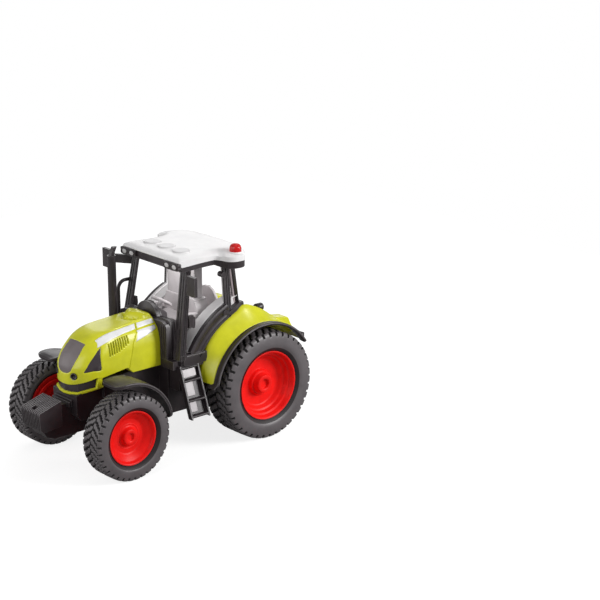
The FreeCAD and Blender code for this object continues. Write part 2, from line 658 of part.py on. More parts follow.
def cab_platform():
    """Black floor plate that carries the cab's side frames, the steps and the handrail."""
    body = new_body("cab_platform")
    half = "(dim.cab_half_width - dim.cab_wall)"
    pad(body, "plate", "z", platform_floor, "dim.platform_top", box("-" + half, hood_rear, half, fender_foot))
    inner = "(dim.fender_wall_face - 2.2)"
    pad(body, "tail", "z", platform_floor, "dim.platform_top",
        box("-" + inner, fender_foot, inner, at(rear_axle, "14")))


def cab_side():
    """Left side frame: leaning front pillar, sill, wheel-arch frame and middle pillar in one piece."""
    body = new_body("cab_side_left")
    inside = "(dim.cab_half_width - dim.cab_wall)"
    outside = "dim.cab_half_width"
    foot = [(at(outside, "-9.6"), at(cab_front, "1.4")), (at(outside, "-2.4"), at(cab_front, "1.8")),
            (at(outside, "-0.2"), at(cab_front, "5.2")), (at(outside, "-2.8"), at(cab_front, "6.6")),
            (at(outside, "-9"), at(cab_front, "4.6"))]
    top = [(at(outside, "-8.4 - dim.pillar_lean_in"), at(cab_front, "1.6 + dim.pillar_lean_back")),
           (at(outside, "-2.4 - dim.pillar_lean_in"), at(cab_front, "2 + dim.pillar_lean_back")),
           (at(outside, "-dim.pillar_lean_in"), at(cab_front, "4.4 + dim.pillar_lean_back")),
           (at(outside, "-1.4 - dim.pillar_lean_in"), at(cab_front, "5.6 + dim.pillar_lean_back")),
           (at(outside, "-8 - dim.pillar_lean_in"), at(cab_front, "4.4 + dim.pillar_lean_back"))]
    pad(body, "sill", "x", inside, outside,
        box(at(cab_front, "2.8"), platform_floor, fender_foot, "dim.platform_top + dim.sill_height"))
    for name, width, low, high in (("arch", "dim.arch_width", 113, 149), ("arch_tail", "5", 100, 114)):
        pad(body, name, "x", "dim.rear_pillar_offset + 0.1", outside,
            ring_sector(rear_axle, "dim.rear_tyre_radius", arch_radius, "(%s + %s)" % (arch_radius, width), low, high))
    loft(body, "front_pillar", "z", ("dim.platform_top", foot), ("dim.roof_base", top))
    front = "(%s - dim.mid_pillar_front)" % rear_axle
    rear = "(%s + dim.mid_pillar_depth)" % front
    outer_top = "(dim.cab_half_width - dim.pillar_lean_in)"
    loft(body, "middle_pillar", "z",
         ("dim.rear_tyre_radius + %s - 1" % arch_radius, box(at(outside, "-4.4"), front, at(outside, "-1.4"), rear)),
         ("dim.roof_base", box(at(outer_top, "-3"), front, outer_top, rear)))
    mirrored(body, "cab_side_right")


def cab_rear():
    """Rear frame: two leaning pillars and the panel below the rear window."""
    body = new_body("cab_rear")
    outside = "dim.rear_pillar_offset"
    inside = "(dim.rear_pillar_offset - 3.4)"
    top = "(%s - dim.rear_pillar_top)" % rear_axle
    foot = "(%s - dim.rear_pillar_foot)" % rear_axle
    rail = "(dim.rear_tyre_radius + %s)" % arch_radius
    lean = [(foot, rail), (at(foot, "dim.rear_pillar_depth"), rail),
            (at(top, "dim.rear_pillar_depth"), "dim.roof_base"), (top, "dim.roof_base")]
    foot_rear = at(foot, "dim.rear_pillar_depth")
    across = "(dim.fender_wall_face - 2.2)"
    pad(body, "panel", "x", "-" + across, across, box(foot, "dim.platform_top", foot_rear, rail))
    pad(body, "window_sill", "x", "-" + outside, outside, box(foot, rail, foot_rear, at(rail, "3")))
    pad(body, "pillar_left", "x", inside, outside, lean)
    pad(body, "pillar_right", "x", "-" + outside, "-" + inside, lean)


def door_fittings():
    """Two hinge barrels on each middle pillar and a latch plate on each front pillar."""
    items = []
    for side in (1, -1):
        for height, across in ((124.8, -3.6), (97.2, -1.8)):
            items.append(cylinder("hinge_barrel", "2", "5",
                                  ("%d * (dim.cab_half_width + (%g)) - 2.5" % (side, across),
                                   "%s - dim.mid_pillar_front - 2" % rear_axle, str(height)), (1, 0, 0)))
        latch = doc.addObject("Part::Box", "latch")
        latch.setExpression("Length", "2.4")
        latch.setExpression("Width", "3.6")
        latch.setExpression("Height", "9")
        latch.setExpression("Placement.Base.x", "%d * (dim.cab_half_width - 2) - 1.2" % side)
        latch.setExpression("Placement.Base.y", at(cab_front, "10.2"))
        latch.setExpression("Placement.Base.z", "92")
        items.append(latch)
    trimmed("door_fittings", compound("door_fittings_rough", items, False),
            named("cab_side_left"), named("cab_side_right"))


def roof_plan(inset="0"):
    """The roof's plan: narrow over the doors, with a rounded wing on each side at the rear."""
    front = "(%s - dim.roof_front + %s)" % (rear_axle, inset)
    wing = "(%s - dim.roof_wing_front)" % rear_axle
    rear = "(%s - dim.roof_rear - %s)" % (rear_axle, inset)
    narrow = "(dim.roof_half_width - %s)" % inset
    wide = "(dim.roof_wing_half_width - %s)" % inset
    half = [(at(narrow, "-1.6"), front), (narrow, at(front, "1.6")), (at(narrow, "-1.4"), at(wing, "-8")),
            (at(narrow, "-1"), at(wing, "0.6")), (at(wide, "-7"), at(wing, "2.6")), (at(wide, "-2"), at(wing, "5.6")),
            (wide, at(wing, "10.6")), (at(wide, "-0.2"), at(wing, "14.4")), (at(wide, "-3"), at(wing, "18")),
            (at(wide, "-8"), at(wing, "21.6")), (at(wide, "-13"), at(wing, "25")), (at(wide, "-23"), at(rear, "-1")),
            (at(narrow, "-20"), rear)]
    return half + [("-(%s)" % across, along) for across, along in reversed(half)]


def roof():
    """White roof shell, drawn in towards its top, with seats for the buttons and the beacon."""
    body = new_body("roof")
    low = "(dim.roof_base + dim.roof_frame_side)"
    loft(body, "shell", "z", (low, roof_plan("0.4")), ("%s - 2.6" % roof_top, roof_plan()),
         ("%s - 1.4" % roof_top, roof_plan("0.9")), (roof_top, roof_plan("5")))
    front = "(%s - dim.roof_front)" % rear_axle
    half = "dim.roof_half_width"
    pocket(body, "brow", "z", "%s - 1" % low, roof_frame_top,
           box("-" + half, at(front, "-1"), half, at(front, "2.2")))
    for name, across in (("right", "-dim.button_pitch"), ("middle", "0"), ("left", "dim.button_pitch")):
        pocket(body, "socket_" + name, "z", roof_top + " - 1.6", roof_top + " + 1",
               (across, button_line, "dim.button_radius + 0.3"))
    pocket(body, "beacon_seat", "z", beacon_foot, roof_top + " + 1",
           ("dim.beacon_offset", beacon_line, "dim.beacon_radius + 0.2"))


def roof_frame():
    """Dark frame under the roof shell, higher over the windscreen."""
    body = new_body("roof_frame", False)
    pad(body, "frame", "z", "dim.roof_base", roof_frame_top, roof_plan("0.8"))
    trimmed("roof_frame", body, named("roof"))


def cylinder(name, radius, height, base, direction=(0, 0, 1)):
    """Plain cylinder bound to the sheet: base is three expressions."""
    item = doc.addObject("Part::Cylinder", name)
    item.setExpression("Radius", radius)
    item.setExpression("Height", height)
    for axis, expression in zip("xyz", base):
        item.setExpression("Placement.Base." + axis, expression)
    item.Placement.Rotation = FreeCAD.Rotation(FreeCAD.Vector(0, 0, 1), FreeCAD.Vector(*direction))
    return item


def compound(name, items, finished=True):
    """Like solids that don't touch, kept as one sub-part."""
    group = doc.addObject("Part::Compound", name)
    group.Links = items
    return keep(group, name) if finished else group


def roof_buttons():
    """Three round push buttons for the sounds."""
    buttons = [cylinder("button_" + name, "dim.button_radius", "1.6 + dim.button_stand",
                        (across, button_line, roof_top + " - 1.6"))
               for name, across in (("right", "-dim.button_pitch"), ("middle", "0"), ("left", "dim.button_pitch"))]
    compound("roof_buttons", buttons)


def beacon():
    """Red dome on the roof's left wing."""
    body = new_body("beacon")
    sketch = new_sketch(body, "dome_sketch", "y", "0")
    radius = "dim.beacon_radius"
    draw(sketch, [[("0", "0"), (radius, "0"), (radius, "1.9", radius, 1), ("0", "1.9 + " + radius)]])
    dome = body.newObject("PartDesign::Revolution", "dome")
    dome.Profile = sketch
    dome.ReferenceAxis = (sketch, ["V_Axis"])
    dome.Angle = 360
    body.setExpression("Placement.Base.x", "dim.beacon_offset")
    body.setExpression("Placement.Base.y", beacon_line)
    body.setExpression("Placement.Base.z", beacon_foot)


def roof_lamps():
    """A pod for two round work lamps at each front corner of the roof frame."""
    front = "(%s - dim.roof_front + 0.8)" % rear_axle
    items = []
    for side in ("-1", "1"):
        pod = doc.addObject("Part::Box", "pod")
        pod.setExpression("Length", "13")
        pod.setExpression("Width", "1.4")
        pod.setExpression("Height", "dim.roof_frame_height + 0.8")
        pod.setExpression("Placement.Base.x", side + " * (dim.roof_half_width - 7.6) - 6.5")
        pod.setExpression("Placement.Base.y", front + " - 1.4")
        pod.setExpression("Placement.Base.z", "dim.roof_base - 1.2")
        items.append(pod)
    trimmed("roof_lamps", compound("roof_lamps_rough", items, False), named("roof"))


def mirror():
    """Flat mirror on an arm from the front pillar's top, and its twin."""
    body = new_body("mirror_left", False)
    inner = "(dim.mirror_outer - dim.mirror_width)"
    front = at(cab_front, "2")
    top = "(dim.roof_base + 1.6)"
    pad(body, "plate", "y", front, at(front, "2.4"),
        box(inner, top + " - dim.mirror_height", "dim.mirror_outer", top))
    pillar = "(dim.cab_half_width - dim.pillar_lean_in - 1.5)"
    pad(body, "arm", "z", top + " - 9.5", top + " - 3",
        [(pillar, at(cab_front, "dim.pillar_lean_back + 1")), (at(inner, "1"), at(front, "0.2")),
         (at(inner, "1"), at(front, "2.2")), (pillar, at(cab_front, "dim.pillar_lean_back + 3.4"))])
    mirror_left = trimmed("mirror_left", body, named("cab_side_left"))
    mirrored(mirror_left, "mirror_right")


def exhaust():
    """Stack on the right of the hood: upright pipe, bent tip and the elbow that carries it."""
    body = new_body("exhaust", False)
    line = "(%s - dim.exhaust_ahead)" % rear_axle
    across = "-dim.exhaust_offset"
    base = "dim.hood_bottom + 6.6"
    pad(body, "stack", "z", base, "dim.exhaust_top", (across, line, "dim.exhaust_radius"))
    pad(body, "elbow", "x", across, "-dim.hood_half_width + 4",
        (line, base + " + dim.exhaust_radius", "dim.exhaust_radius - 0.4"))
    tip = "dim.exhaust_top"
    loft(body, "tip", "z", (tip, round_eight(across, line, "dim.exhaust_radius - 1")),
         (at(tip, "3"), round_eight(across, at(line, "1"), "dim.exhaust_radius - 1")),
         (at(tip, "6"), round_eight(across, at(line, "2.6"), "dim.exhaust_radius - 1.1")))
    trimmed("exhaust", body, named("hood"))


def round_eight(across, up, radius):
    """Eight-sided outline about a centre."""
    return [polar(across, up, "(%s)" % radius, 45 * turn) for turn in range(8)]


def handrail():
    """Bent bar from the platform to the right front pillar."""
    body = new_body("handrail", False)
    across = "(dim.cab_wall + dim.rail_radius + 0.2 - dim.cab_half_width)"
    ahead = "(%s + 0.1)" % cab_front
    reach = "4.2"
    bend = "(dim.rail_top - 6)"
    path = new_sketch(body, "path", "x", across)
    corners = [(ahead, "dim.platform_top"), (ahead, bend), (at(ahead, "6"), at(bend, "6")),
               (at(ahead, "6 + " + reach), at(bend, "6"))]
    points = [FreeCAD.Vector(value(along), value(up), 0) for along, up in corners]
    path.addGeometry(Part.LineSegment(points[0], points[1]), False)
    path.addGeometry(arc_between(points[1], points[2], 6, -1), False)
    path.addGeometry(Part.LineSegment(points[2], points[3]), False)
    path.addConstraint(Sketcher.Constraint("Tangent", 0, 2, 1, 2))
    path.addConstraint(Sketcher.Constraint("Tangent", 1, 1, 2, 1))
    for geometry, vertex, place_of in ((0, 1, 0), (0, 2, 1), (2, 2, 3)):
        point, pair = points[place_of], corners[place_of]
        for kind, number, expression in (("DistanceX", point.x, pair[0]), ("DistanceY", point.y, pair[1])):
            bind(path, path.addConstraint(Sketcher.Constraint(kind, -1, 1, geometry, vertex, number)), expression)
    profile = new_sketch(body, "section", "z", "dim.platform_top")
    draw_circle(profile, across, ahead, "dim.rail_radius")
    bar = body.newObject("PartDesign::AdditivePipe", "bar")
    bar.Profile = profile
    bar.Spine = (path, [])
    trimmed("handrail", body, named("cab_side_right"))


def rear_fender():
    """Green fender: a crowned arch over the rear wheel and its inner wall, with its twin."""
    body = new_body("rear_fender_left")
    inner_radius = "(%s + dim.fender_crown)" % fender_radius
    lifted = "(dim.rear_tyre_radius + dim.fender_lift)"
    loft(body, "arch", "x", *[
        (across, ring_sector(rear_axle, centre, low, "(%s + dim.fender_skin)" % low, 30, 166))
        for across, centre, low in (("dim.fender_outer", "dim.rear_tyre_radius", fender_radius),
                                    ("dim.fender_inner", lifted, inner_radius))])
    pad(body, "shoulder", "x", "dim.fender_wall_face - 2", "dim.fender_inner",
        ring_sector(rear_axle, lifted, inner_radius, "(%s + dim.fender_skin)" % inner_radius, 30, 166))
    wall = [polar(rear_axle, lifted, inner_radius, 30) + (inner_radius, 1),
            polar(rear_axle, lifted, inner_radius, 166)]
    pad(body, "wall", "x", "dim.fender_wall_face - 2", "dim.fender_wall_face", wall)
    mirrored(body, "rear_fender_right")


def fender_lip():
    """Black lip under the rear fender's outer edge, and its twin."""
    body = new_body("fender_lip_left")
    pad(body, "lip", "x", "dim.fender_outer - 6", "dim.fender_outer",
        ring_sector(rear_axle, "dim.rear_tyre_radius", lip_radius, fender_radius, 29, 167))
    mirrored(body, "fender_lip_right")


def front_fender():
    """Black fender carried by an arm from the chassis, and its twin."""
    body = new_body("front_fender_left")
    pad(body, "arch", "x", "dim.front_fender_inner", "dim.fender_outer",
        ring_sector(front_axle, "dim.front_tyre_radius", front_fender_radius,
                    "(%s + 2)" % front_fender_radius, 6, 104))
    top = "(dim.front_tyre_radius + %s)" % front_fender_radius
    near, far = at(front_axle, "3"), at(front_axle, "11")
    low, high = "dim.chassis_top + 1.5", "dim.chassis_top + 4"
    pad(body, "arm", "x", "dim.chassis_half_width + 1", "dim.front_fender_inner + 1", box(near, low, far, high))
    pad(body, "riser", "x", "dim.front_fender_inner", "dim.front_fender_inner + 2",
        box(near, low, far, at(top, "0.4")))
    pad(body, "strut", "x", "dim.chassis_half_width", "dim.chassis_half_width + 3",
        box(near, "dim.chassis_top - 8", far, high))
    mirrored(body, "front_fender_right")


def fender_lamps():
    """Round work lamps on top of the rear fenders."""
    lamps = []
    for side in ("-1", "1"):
        foot = (side + " * (dim.fender_inner + 5)", at(rear_axle, "2"),
                "dim.rear_tyre_radius + %s + 8.3" % fender_radius)
        lamps.append(cylinder("fender_lamp", "3", "6", foot, (0, 1, 0)))
    trimmed("fender_lamps", compound("fender_lamps_rough", lamps, False),
            named("rear_fender_left"), named("rear_fender_right"))


def tail_lamps():
    """Lamp blocks on the rear fenders' tails."""
    lamps = []
    for side in ("-1", "1"):
        lamp = doc.addObject("Part::Box", "tail_lamp")
        lamp.setExpression("Length", "8")
        lamp.setExpression("Width", "2.6")
        lamp.setExpression("Height", "4")
        lamp.setExpression("Placement.Base.x", side + " * (dim.fender_inner + 7) - 4")
        lamp.setExpression("Placement.Base.y", "%s + %s * 0.91" % (rear_axle, fender_radius))
        lamp.setExpression("Placement.Base.z", "dim.rear_tyre_radius + %s * 0.6" % fender_radius)
        lamps.append(lamp)
    trimmed("tail_lamps", compound("tail_lamps_rough", lamps, False),
            named("rear_fender_left"), named("rear_fender_right"))


def steps():
    """Ladder under the left door: two rails leaning outwards, four treads and a hanger behind them."""
    body = new_body("steps_left")
    half = "dim.cab_half_width"
    front, rear = at(cab_front, "0.7"), at(cab_front, "17.4")
    rail = [(at(half, "-4"), platform_floor), (half, platform_floor), (at(half, "12.4"), "29"), (at(half, "8"), "29")]
    pad(body, "front_rail", "y", front, at(front, "1.8"), rail)
    pad(body, "rear_rail", "y", at(rear, "-1.8"), rear, rail)
    for name, out, height in (("top", "1.2", "56"), ("middle", "5.2", "46.5"), ("low", "9.2", "36.5"),
                              ("bottom", "11.6", "29")):
        pad(body, name + "_tread", "y", front, rear,
            box(at(half, out + " - 4.5"), height, at(half, out), height + " + 2.2"))
    pad(body, "hanger", "y", at(front, "1"), at(front, "5"),
        [("dim.case_half_width", "46"), (at(half, "-3.4"), "46"), (at(half, "-3.4"), platform_floor),
         ("dim.case_half_width", platform_floor)])
    mirrored(body, "steps_right")


def step_plates():
    """Pale plates between the treads of the left ladder, and their twins."""
    body = new_body("step_plates_left", False)
    half = "dim.cab_half_width"
    pad(body, "plate", "y", at(cab_front, "2.5"), at(cab_front, "15.6"),
        [(at(half, "-3"), platform_floor), (at(half, "-1.8"), platform_floor), (at(half, "9.8"), "30"),
         (at(half, "8.6"), "30")])
    plates = trimmed("step_plates_left", body, named("steps_left"))
    mirrored(plates, "step_plates_right")


def steering():
    """Steering wheel on its leaning column."""
    lean = FreeCAD.Vector(0, math.sin(math.radians(32)), math.cos(math.radians(32)))
    foot = ("0", "%s + dim.cowl_thick - 1" % hood_rear, "dim.platform_top + 18")
    trimmed("steering_column", cylinder("steering_column_rough", "2", "dim.column_length", foot, lean), named("cowl"))
    rim = doc.addObject("Part::Torus", "steering_rim")
    rim.setExpression("Radius1", "dim.steering_radius - 1")
    rim.Radius2 = 1
    hub = doc.addObject("Part::Cylinder", "steering_hub")
    hub.Radius = 2.4
    hub.Height = 2
    hub.Placement.Base.z = -1
    spoke = doc.addObject("Part::Box", "steering_spoke")
    spoke.setExpression("Length", "dim.steering_radius * 2 - 2")
    spoke.Width = 1.6
    spoke.Height = 1.2
    spoke.setExpression("Placement.Base.x", "1 - dim.steering_radius")
    spoke.Placement.Base.y = -0.8
    spoke.Placement.Base.z = -0.6
    wheel_parts = doc.addObject("Part::MultiFuse", "steering_wheel")
    wheel_parts.Shapes = [rim, hub, spoke]
    wheel_parts.Placement.Rotation = FreeCAD.Rotation(FreeCAD.Vector(0, 0, 1), lean)
    wheel_parts.setExpression("Placement.Base.y", "%s + (dim.column_length + 1) * %.6f" % (foot[1], lean.y))
    wheel_parts.setExpression("Placement.Base.z", "%s + (dim.column_length + 1) * %.6f" % (foot[2], lean.z))
    keep(wheel_parts, "steering_wheel")


def interior():
    """Pale moulded floor between the wheel arches."""
    body = new_body("cab_floor")
    half = "(dim.fender_wall_face - 2.4)"
    pad(body, "floor", "z", "dim.platform_top", "dim.platform_top + 2.5",
        box("-" + half, at(hood_rear, "dim.cowl_thick"), half, "%s - dim.rear_pillar_foot" % rear_axle))


def seat():
    """Seat block with shoulders and a high narrow head rest."""
    body = new_body("seat")
    floor = "(dim.platform_top + 2.5)"
    back = at(rear_axle, "-20")
    front = at(rear_axle, "-48")
    pad(body, "base", "x", "-14", "14", box(at(front, "4"), floor, at(back, "-2"), at(floor, "13")))
    pad(body, "cushion", "x", "-17", "17", box(front, at(floor, "13"), back, at(floor, "19")))
    pad(body, "back", "x", "-19", "19", box(at(back, "-8"), at(floor, "19"), back, at(floor, "36")))
    pad(body, "head", "x", "-9", "9", box(at(back, "-8"), at(floor, "36"), back, at(floor, "55")))


def rear_hitch():
    """Drawbar with the bore for a trailer's pin."""
    body = new_body("rear_hitch")
    case_rear = "(%s + dim.case_rear)" % rear_axle
    end = "(%s + dim.hitch_reach)" % rear_axle
    low = "dim.hitch_height"
    pad(body, "drawbar", "z", low, low + " + dim.hitch_thick",
        [("-9", case_rear), ("9", case_rear), ("5.5", at(end, "-3")), ("3", end), ("-3", end), ("-5.5", at(end, "-3"))])
    pocket(body, "bore", "z", low + " - 1", low + " + dim.hitch_thick + 1", ("0", at(end, "-6"), "dim.hitch_bore"))


def build():
    fill_sheet()
    front_chassis()
    rear_chassis()
    front_axle_beam()
    axle_pin("front_axle_pin", "dim.front_wheel_face", "dim.front_hub_depth", front_axle, "dim.front_tyre_radius")
    axle_pin("rear_axle_pin", "dim.rear_wheel_face", "dim.rear_hub_depth", rear_axle, "dim.rear_tyre_radius")
    wheel("front", front_axle, "(dim.front_wheel_face - dim.front_tyre_width - 0.4)")
    wheel("rear", rear_axle, "(dim.case_half_width + dim.side_gap)")
    front_weight()
    hood()
    grille()
    nose_band()
    nose_lip()
    weight_bracket()
    nose_lamps()
    side_vent()
    cowl()
    cab_platform()
    cab_side()
    cab_rear()
    door_fittings()
    roof()
    roof_frame()
    roof_buttons()
    beacon()
    roof_lamps()
    mirror()
    exhaust()
    handrail()
    rear_fender()
    fender_lip()
    front_fender()
    fender_lamps()
    tail_lamps()
    steps()
    step_plates()
    steering()
    interior()
    seat()
    rear_hitch()
    doc.recompute()


def export():
    """Checks every object, then writes one STEP file for each sub-part."""
    for item in doc.Objects:
        if "Invalid" in item.State or "Error" in item.State:
            raise RuntimeError("%s failed: %s" % (item.Name, item.State))
    for piece in pieces:
        if piece.Shape.isNull() or not piece.Shape.isValid():
            raise RuntimeError(piece.Label + " has no valid shape")
    os.makedirs("parts", exist_ok=True)
    for piece in pieces:
        piece.Shape.exportStep("parts/%s.step" % piece.Label)
        print(piece.Label, len(piece.Shape.Solids), "solid", round(piece.Shape.Volume, 1), "mm3")


build()
export()
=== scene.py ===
import bpy, bmesh, json
from math import sin, cos, pi, tau, radians, sqrt, atan2, hypot, floor
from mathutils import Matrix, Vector
from mathutils.bvhtree import BVHTree
from mathutils.geometry import delaunay_2d_cdt


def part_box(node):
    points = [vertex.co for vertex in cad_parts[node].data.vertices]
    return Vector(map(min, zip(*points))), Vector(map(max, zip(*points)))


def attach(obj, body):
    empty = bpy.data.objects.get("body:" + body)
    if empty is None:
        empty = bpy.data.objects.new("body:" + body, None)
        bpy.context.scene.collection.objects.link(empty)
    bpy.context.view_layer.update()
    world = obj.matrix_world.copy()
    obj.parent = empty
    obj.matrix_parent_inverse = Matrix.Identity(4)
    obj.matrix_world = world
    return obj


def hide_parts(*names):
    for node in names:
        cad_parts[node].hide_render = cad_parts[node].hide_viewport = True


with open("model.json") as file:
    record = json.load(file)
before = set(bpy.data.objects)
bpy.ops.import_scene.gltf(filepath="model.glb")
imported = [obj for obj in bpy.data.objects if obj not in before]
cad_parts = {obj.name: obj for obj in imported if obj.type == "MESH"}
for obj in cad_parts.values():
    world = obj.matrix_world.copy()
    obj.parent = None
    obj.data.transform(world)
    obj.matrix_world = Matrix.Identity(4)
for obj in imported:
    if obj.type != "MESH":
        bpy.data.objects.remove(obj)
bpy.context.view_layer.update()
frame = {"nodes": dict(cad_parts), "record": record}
nodes = frame["nodes"]
mm = 0.001  # the script works in millimetres, and makePiece turns them to metres
print("frame loaded:", len(nodes), "CAD nodes")


def boxOf(name):
    low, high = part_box(name)
    return [c / mm for c in low], [c / mm for c in high]


frontLow, frontHigh = boxOf("tyre_front_left")
rearLow, rearHigh = boxOf("tyre_rear_left")
frontAxle = {"y": (frontLow[1] + frontHigh[1]) / 2, "z": (frontLow[2] + frontHigh[2]) / 2}
rearAxle = {"y": (rearLow[1] + rearHigh[1]) / 2, "z": (rearLow[2] + rearHigh[2]) / 2}

# finish: record slot, colour, darker mottle, roughness, grain, edge wear with painted edge highlight, and
# gloss
plasticLooks = {
    "greenPlastic": ("green_plastic", (0.63, 0.63, 0.012), (0.53, 0.535, 0.008), 0.30, 0.10, 0.10, 0.5),
    # darker green for the faces inside the louvre slots: painted shade
    "louvrePaintedShade": ("green_plastic", (0.44, 0.45, 0.012), (0.36, 0.37, 0.010), 0.40, 0.10, 0.05, 0.5),
    "blackPlastic": ("black_plastic", (0.034, 0.026, 0.029), (0.018, 0.013, 0.015), 0.36, 0.35, 0.13, 0.5),
    "redPlastic": ("red_plastic", (0.86, 0.012, 0.009), (0.73, 0.006, 0.005), 0.36, 0.12, 0.05, 0.16),
    "whitePlastic": ("white_plastic", (0.80, 0.79, 0.79), (0.74, 0.73, 0.735), 0.36, 0.10, 0.05, 0.5),
    "palePlastic": ("pale_plastic", (0.68, 0.64, 0.65), (0.58, 0.54, 0.55), 0.42, 0.25, 0.05, 0.5),
    "tyreRubber": ("tyre_rubber", (0.110, 0.098, 0.103), (0.082, 0.073, 0.077), 0.40, 0.55, 0.34, 0.5),
    # near-black rubber for the tread's grooves: painted shade
    "tyreGroovePaintedShade": ("tyre_rubber", (0.014, 0.011, 0.012), (0.008, 0.006, 0.007), 0.60, 0.55, 0.05, 0.5),
    "linerPlastic": ("pale_plastic", (0.76, 0.74, 0.745), (0.70, 0.68, 0.685), 0.42, 0.20, 0.05, 0.5),
    "platePlastic": ("pale_plastic", (0.33, 0.30, 0.31), (0.26, 0.23, 0.24), 0.24, 0.10, 0.05, 0.5),
    "darkPanel": ("dark_panel", (0.050, 0.040, 0.044), (0.036, 0.028, 0.032), 0.22, 0.05, 0.05, 0.5),
    # lighter grey than the dark vents of the same slot: a painted broad highlight on the grille
    "grilleSheenPanel": ("dark_panel", (0.170, 0.145, 0.148), (0.135, 0.112, 0.116), 0.36, 0.05, 0.05, 0.5),
    "whiteFilm": ("white_plastic", (0.80, 0.80, 0.80), (0.72, 0.72, 0.72), 0.30, 0.05, 0.05, 0.5),
    # greyer than the white roof: painted shade on the buttons
    "buttonShadedPlastic": ("pale_plastic", (0.62, 0.61, 0.615), (0.55, 0.54, 0.545), 0.34, 0.10, 0.05, 0.5),
    # grey for the dashboard, and a painted highlight on the fender beads and the weight's rib crests
    "greyAndSheenPlastic": ("black_plastic", (0.10, 0.088, 0.093), (0.07, 0.060, 0.064), 0.42, 0.30, 0.05, 0.5),
    # pale pinkish grey on black-slot ribs: painted highlight and reflection
    "ribSheenPlastic": ("black_plastic", (0.36, 0.30, 0.31), (0.28, 0.23, 0.24), 0.42, 0.20, 0.05, 0.5),
    "lampSilver": ("lamp_clear", (0.62, 0.60, 0.61), (0.45, 0.44, 0.45), 0.22, 0.05, 0.05, 0.5),
}
mottleScale, poreScale, scuffScale = 70.0, 2600.0, 420.0


def addNode(tree, kind, **values):
    # a value may be a number, a colour or another node's output; _ stands for a space
    node = tree.nodes.new("ShaderNode" + kind)
    for name, value in values.items():
        name = name.replace("_", " ") if name[0].isupper() else name
        if name not in node.inputs.keys():
            setattr(node, name, value)
        elif isinstance(value, bpy.types.NodeSocket):
            tree.links.new(value, node.inputs[name])
        else:
            node.inputs[name].default_value = value
    return node


def noise(tree, scale, detail, rough=0.5):
    place = addNode(tree, "TexCoord").outputs["Object"]
    return addNode(tree, "TexNoise", Vector=place, Scale=scale, Detail=detail, Roughness=rough).outputs["Fac"]


def ranged(tree, value, low, high, start=0.0, end=1.0):
    return addNode(tree, "MapRange", Value=value, From_Min=start, From_Max=end, To_Min=low,
                   To_Max=high).outputs["Result"]


def blend(tree, share, first, second):
    return addNode(tree, "Mix", data_type="RGBA", Factor=share, A=first, B=second).outputs["Result"]


def pair(tree, kind, operation, first, second):
    node = addNode(tree, kind, operation=operation)
    for value, socket in zip((first, second), node.inputs):
        tree.links.new(value, socket)
    return node.outputs["Value"]


def wornEdges(tree, colour, wornAndSheenColour, amount, width, chips):
    # mixes a lighter colour in where the surface turns sharply, as edge wear and a painted edge highlight,
    # broken up by the noise in chips
    softened = addNode(tree, "Bevel", samples=4, Radius=width).outputs["Normal"]
    alike = pair(tree, "VectorMath", "DOT_PRODUCT", softened, addNode(tree, "NewGeometry").outputs["Normal"])
    edge = ranged(tree, alike, 0.0, 1.0, 0.99, 0.85)
    patchy = ranged(tree, chips, 0.45 * amount, amount, 0.35, 0.60)
    return blend(tree, pair(tree, "Math", "MULTIPLY", edge, patchy), colour, wornAndSheenColour + (1,))


def newMaterial(name):
    # the material, its node tree and its shader
    material = bpy.data.materials.new(name)
    material.use_nodes = True
    return material, material.node_tree, material.node_tree.nodes["Principled BSDF"]


def finishSurface(tree, shader, colour, roughness, height, grain, depth):
    bump = addNode(tree, "Bump", Strength=grain, Distance=depth, Height=height).outputs["Normal"]
    for value, socket in ((colour, "Base Color"), (roughness, "Roughness"), (bump, "Normal")):
        tree.links.new(value, shader.inputs[socket])


def makePlastic(name):
    colour, dark, roughness, grain, wear, gloss = plasticLooks[name][1:]
    material, tree, shader = newMaterial(name)
    mottle, pores = noise(tree, mottleScale, 4.0, 0.6), noise(tree, poreScale, 3.0, 0.65)
    scuff = noise(tree, scuffScale, 5.0, 0.7)
    tint = blend(tree, ranged(tree, mottle, 0.0, 1.0, 0.32, 0.62), dark + (1,), colour + (1,))
    # lighter edge colour: edge wear and a painted edge highlight
    lighter = tuple(min(1.3 * c + wear, 0.9) for c in colour)
    shader.inputs["Specular IOR Level"].default_value = gloss
    finishSurface(tree, shader, wornEdges(tree, tint, lighter, 0.9, 0.0005, scuff),
                  ranged(tree, scuff, roughness - 0.05, roughness + 0.09), pores, grain, 0.00008)
    return material


def makeClear(name, colour, roughness, transmission):
    # clear or tinted lamp plastic with faint moulding waves
    material, tree, shader = newMaterial(name)
    shader.inputs["Transmission Weight"].default_value = transmission
    shader.inputs["IOR"].default_value = 1.49
    waves = noise(tree, 500.0, 2.0)
    tint = blend(tree, waves, tuple(0.8 * c for c in colour) + (1,), colour + (1,))
    lighter = tuple(min(1.15 * c + 0.04, 0.95) for c in colour)
    finishSurface(tree, shader, wornEdges(tree, tint, lighter, 0.5, 0.0003, waves),
                  ranged(tree, waves, roughness, roughness + 0.08), waves, 0.1, 0.00004)
    return material


def makeSteel(name):
    material, tree, shader = newMaterial(name)
    shader.inputs["Metallic"].default_value = 1.0
    streaks = noise(tree, 900.0, 4.0)
    tint = blend(tree, streaks, (0.46, 0.45, 0.44, 1), (0.58, 0.57, 0.56, 1))
    finishSurface(tree, shader, wornEdges(tree, tint, (0.80, 0.79, 0.78), 0.7, 0.0003, streaks),
                  ranged(tree, streaks, 0.22, 0.42), streaks, 0.2, 0.00004)
    return material


materials = {name: makePlastic(name) for name in plasticLooks}
materials["clearLamp"] = makeClear("clearLamp", (0.93, 0.93, 0.93), 0.06, 0.75)
materials["redLamp"] = makeClear("redLamp", (0.80, 0.012, 0.012), 0.10, 0.35)
materials["axleSteel"] = makeSteel("axleSteel")
slotOf = {name: look[0] for name, look in plasticLooks.items()}
slotOf.update({"clearLamp": "lamp_clear", "redLamp": "beacon_red", "axleSteel": "axle_steel"})
print("materials ready:", len(materials))


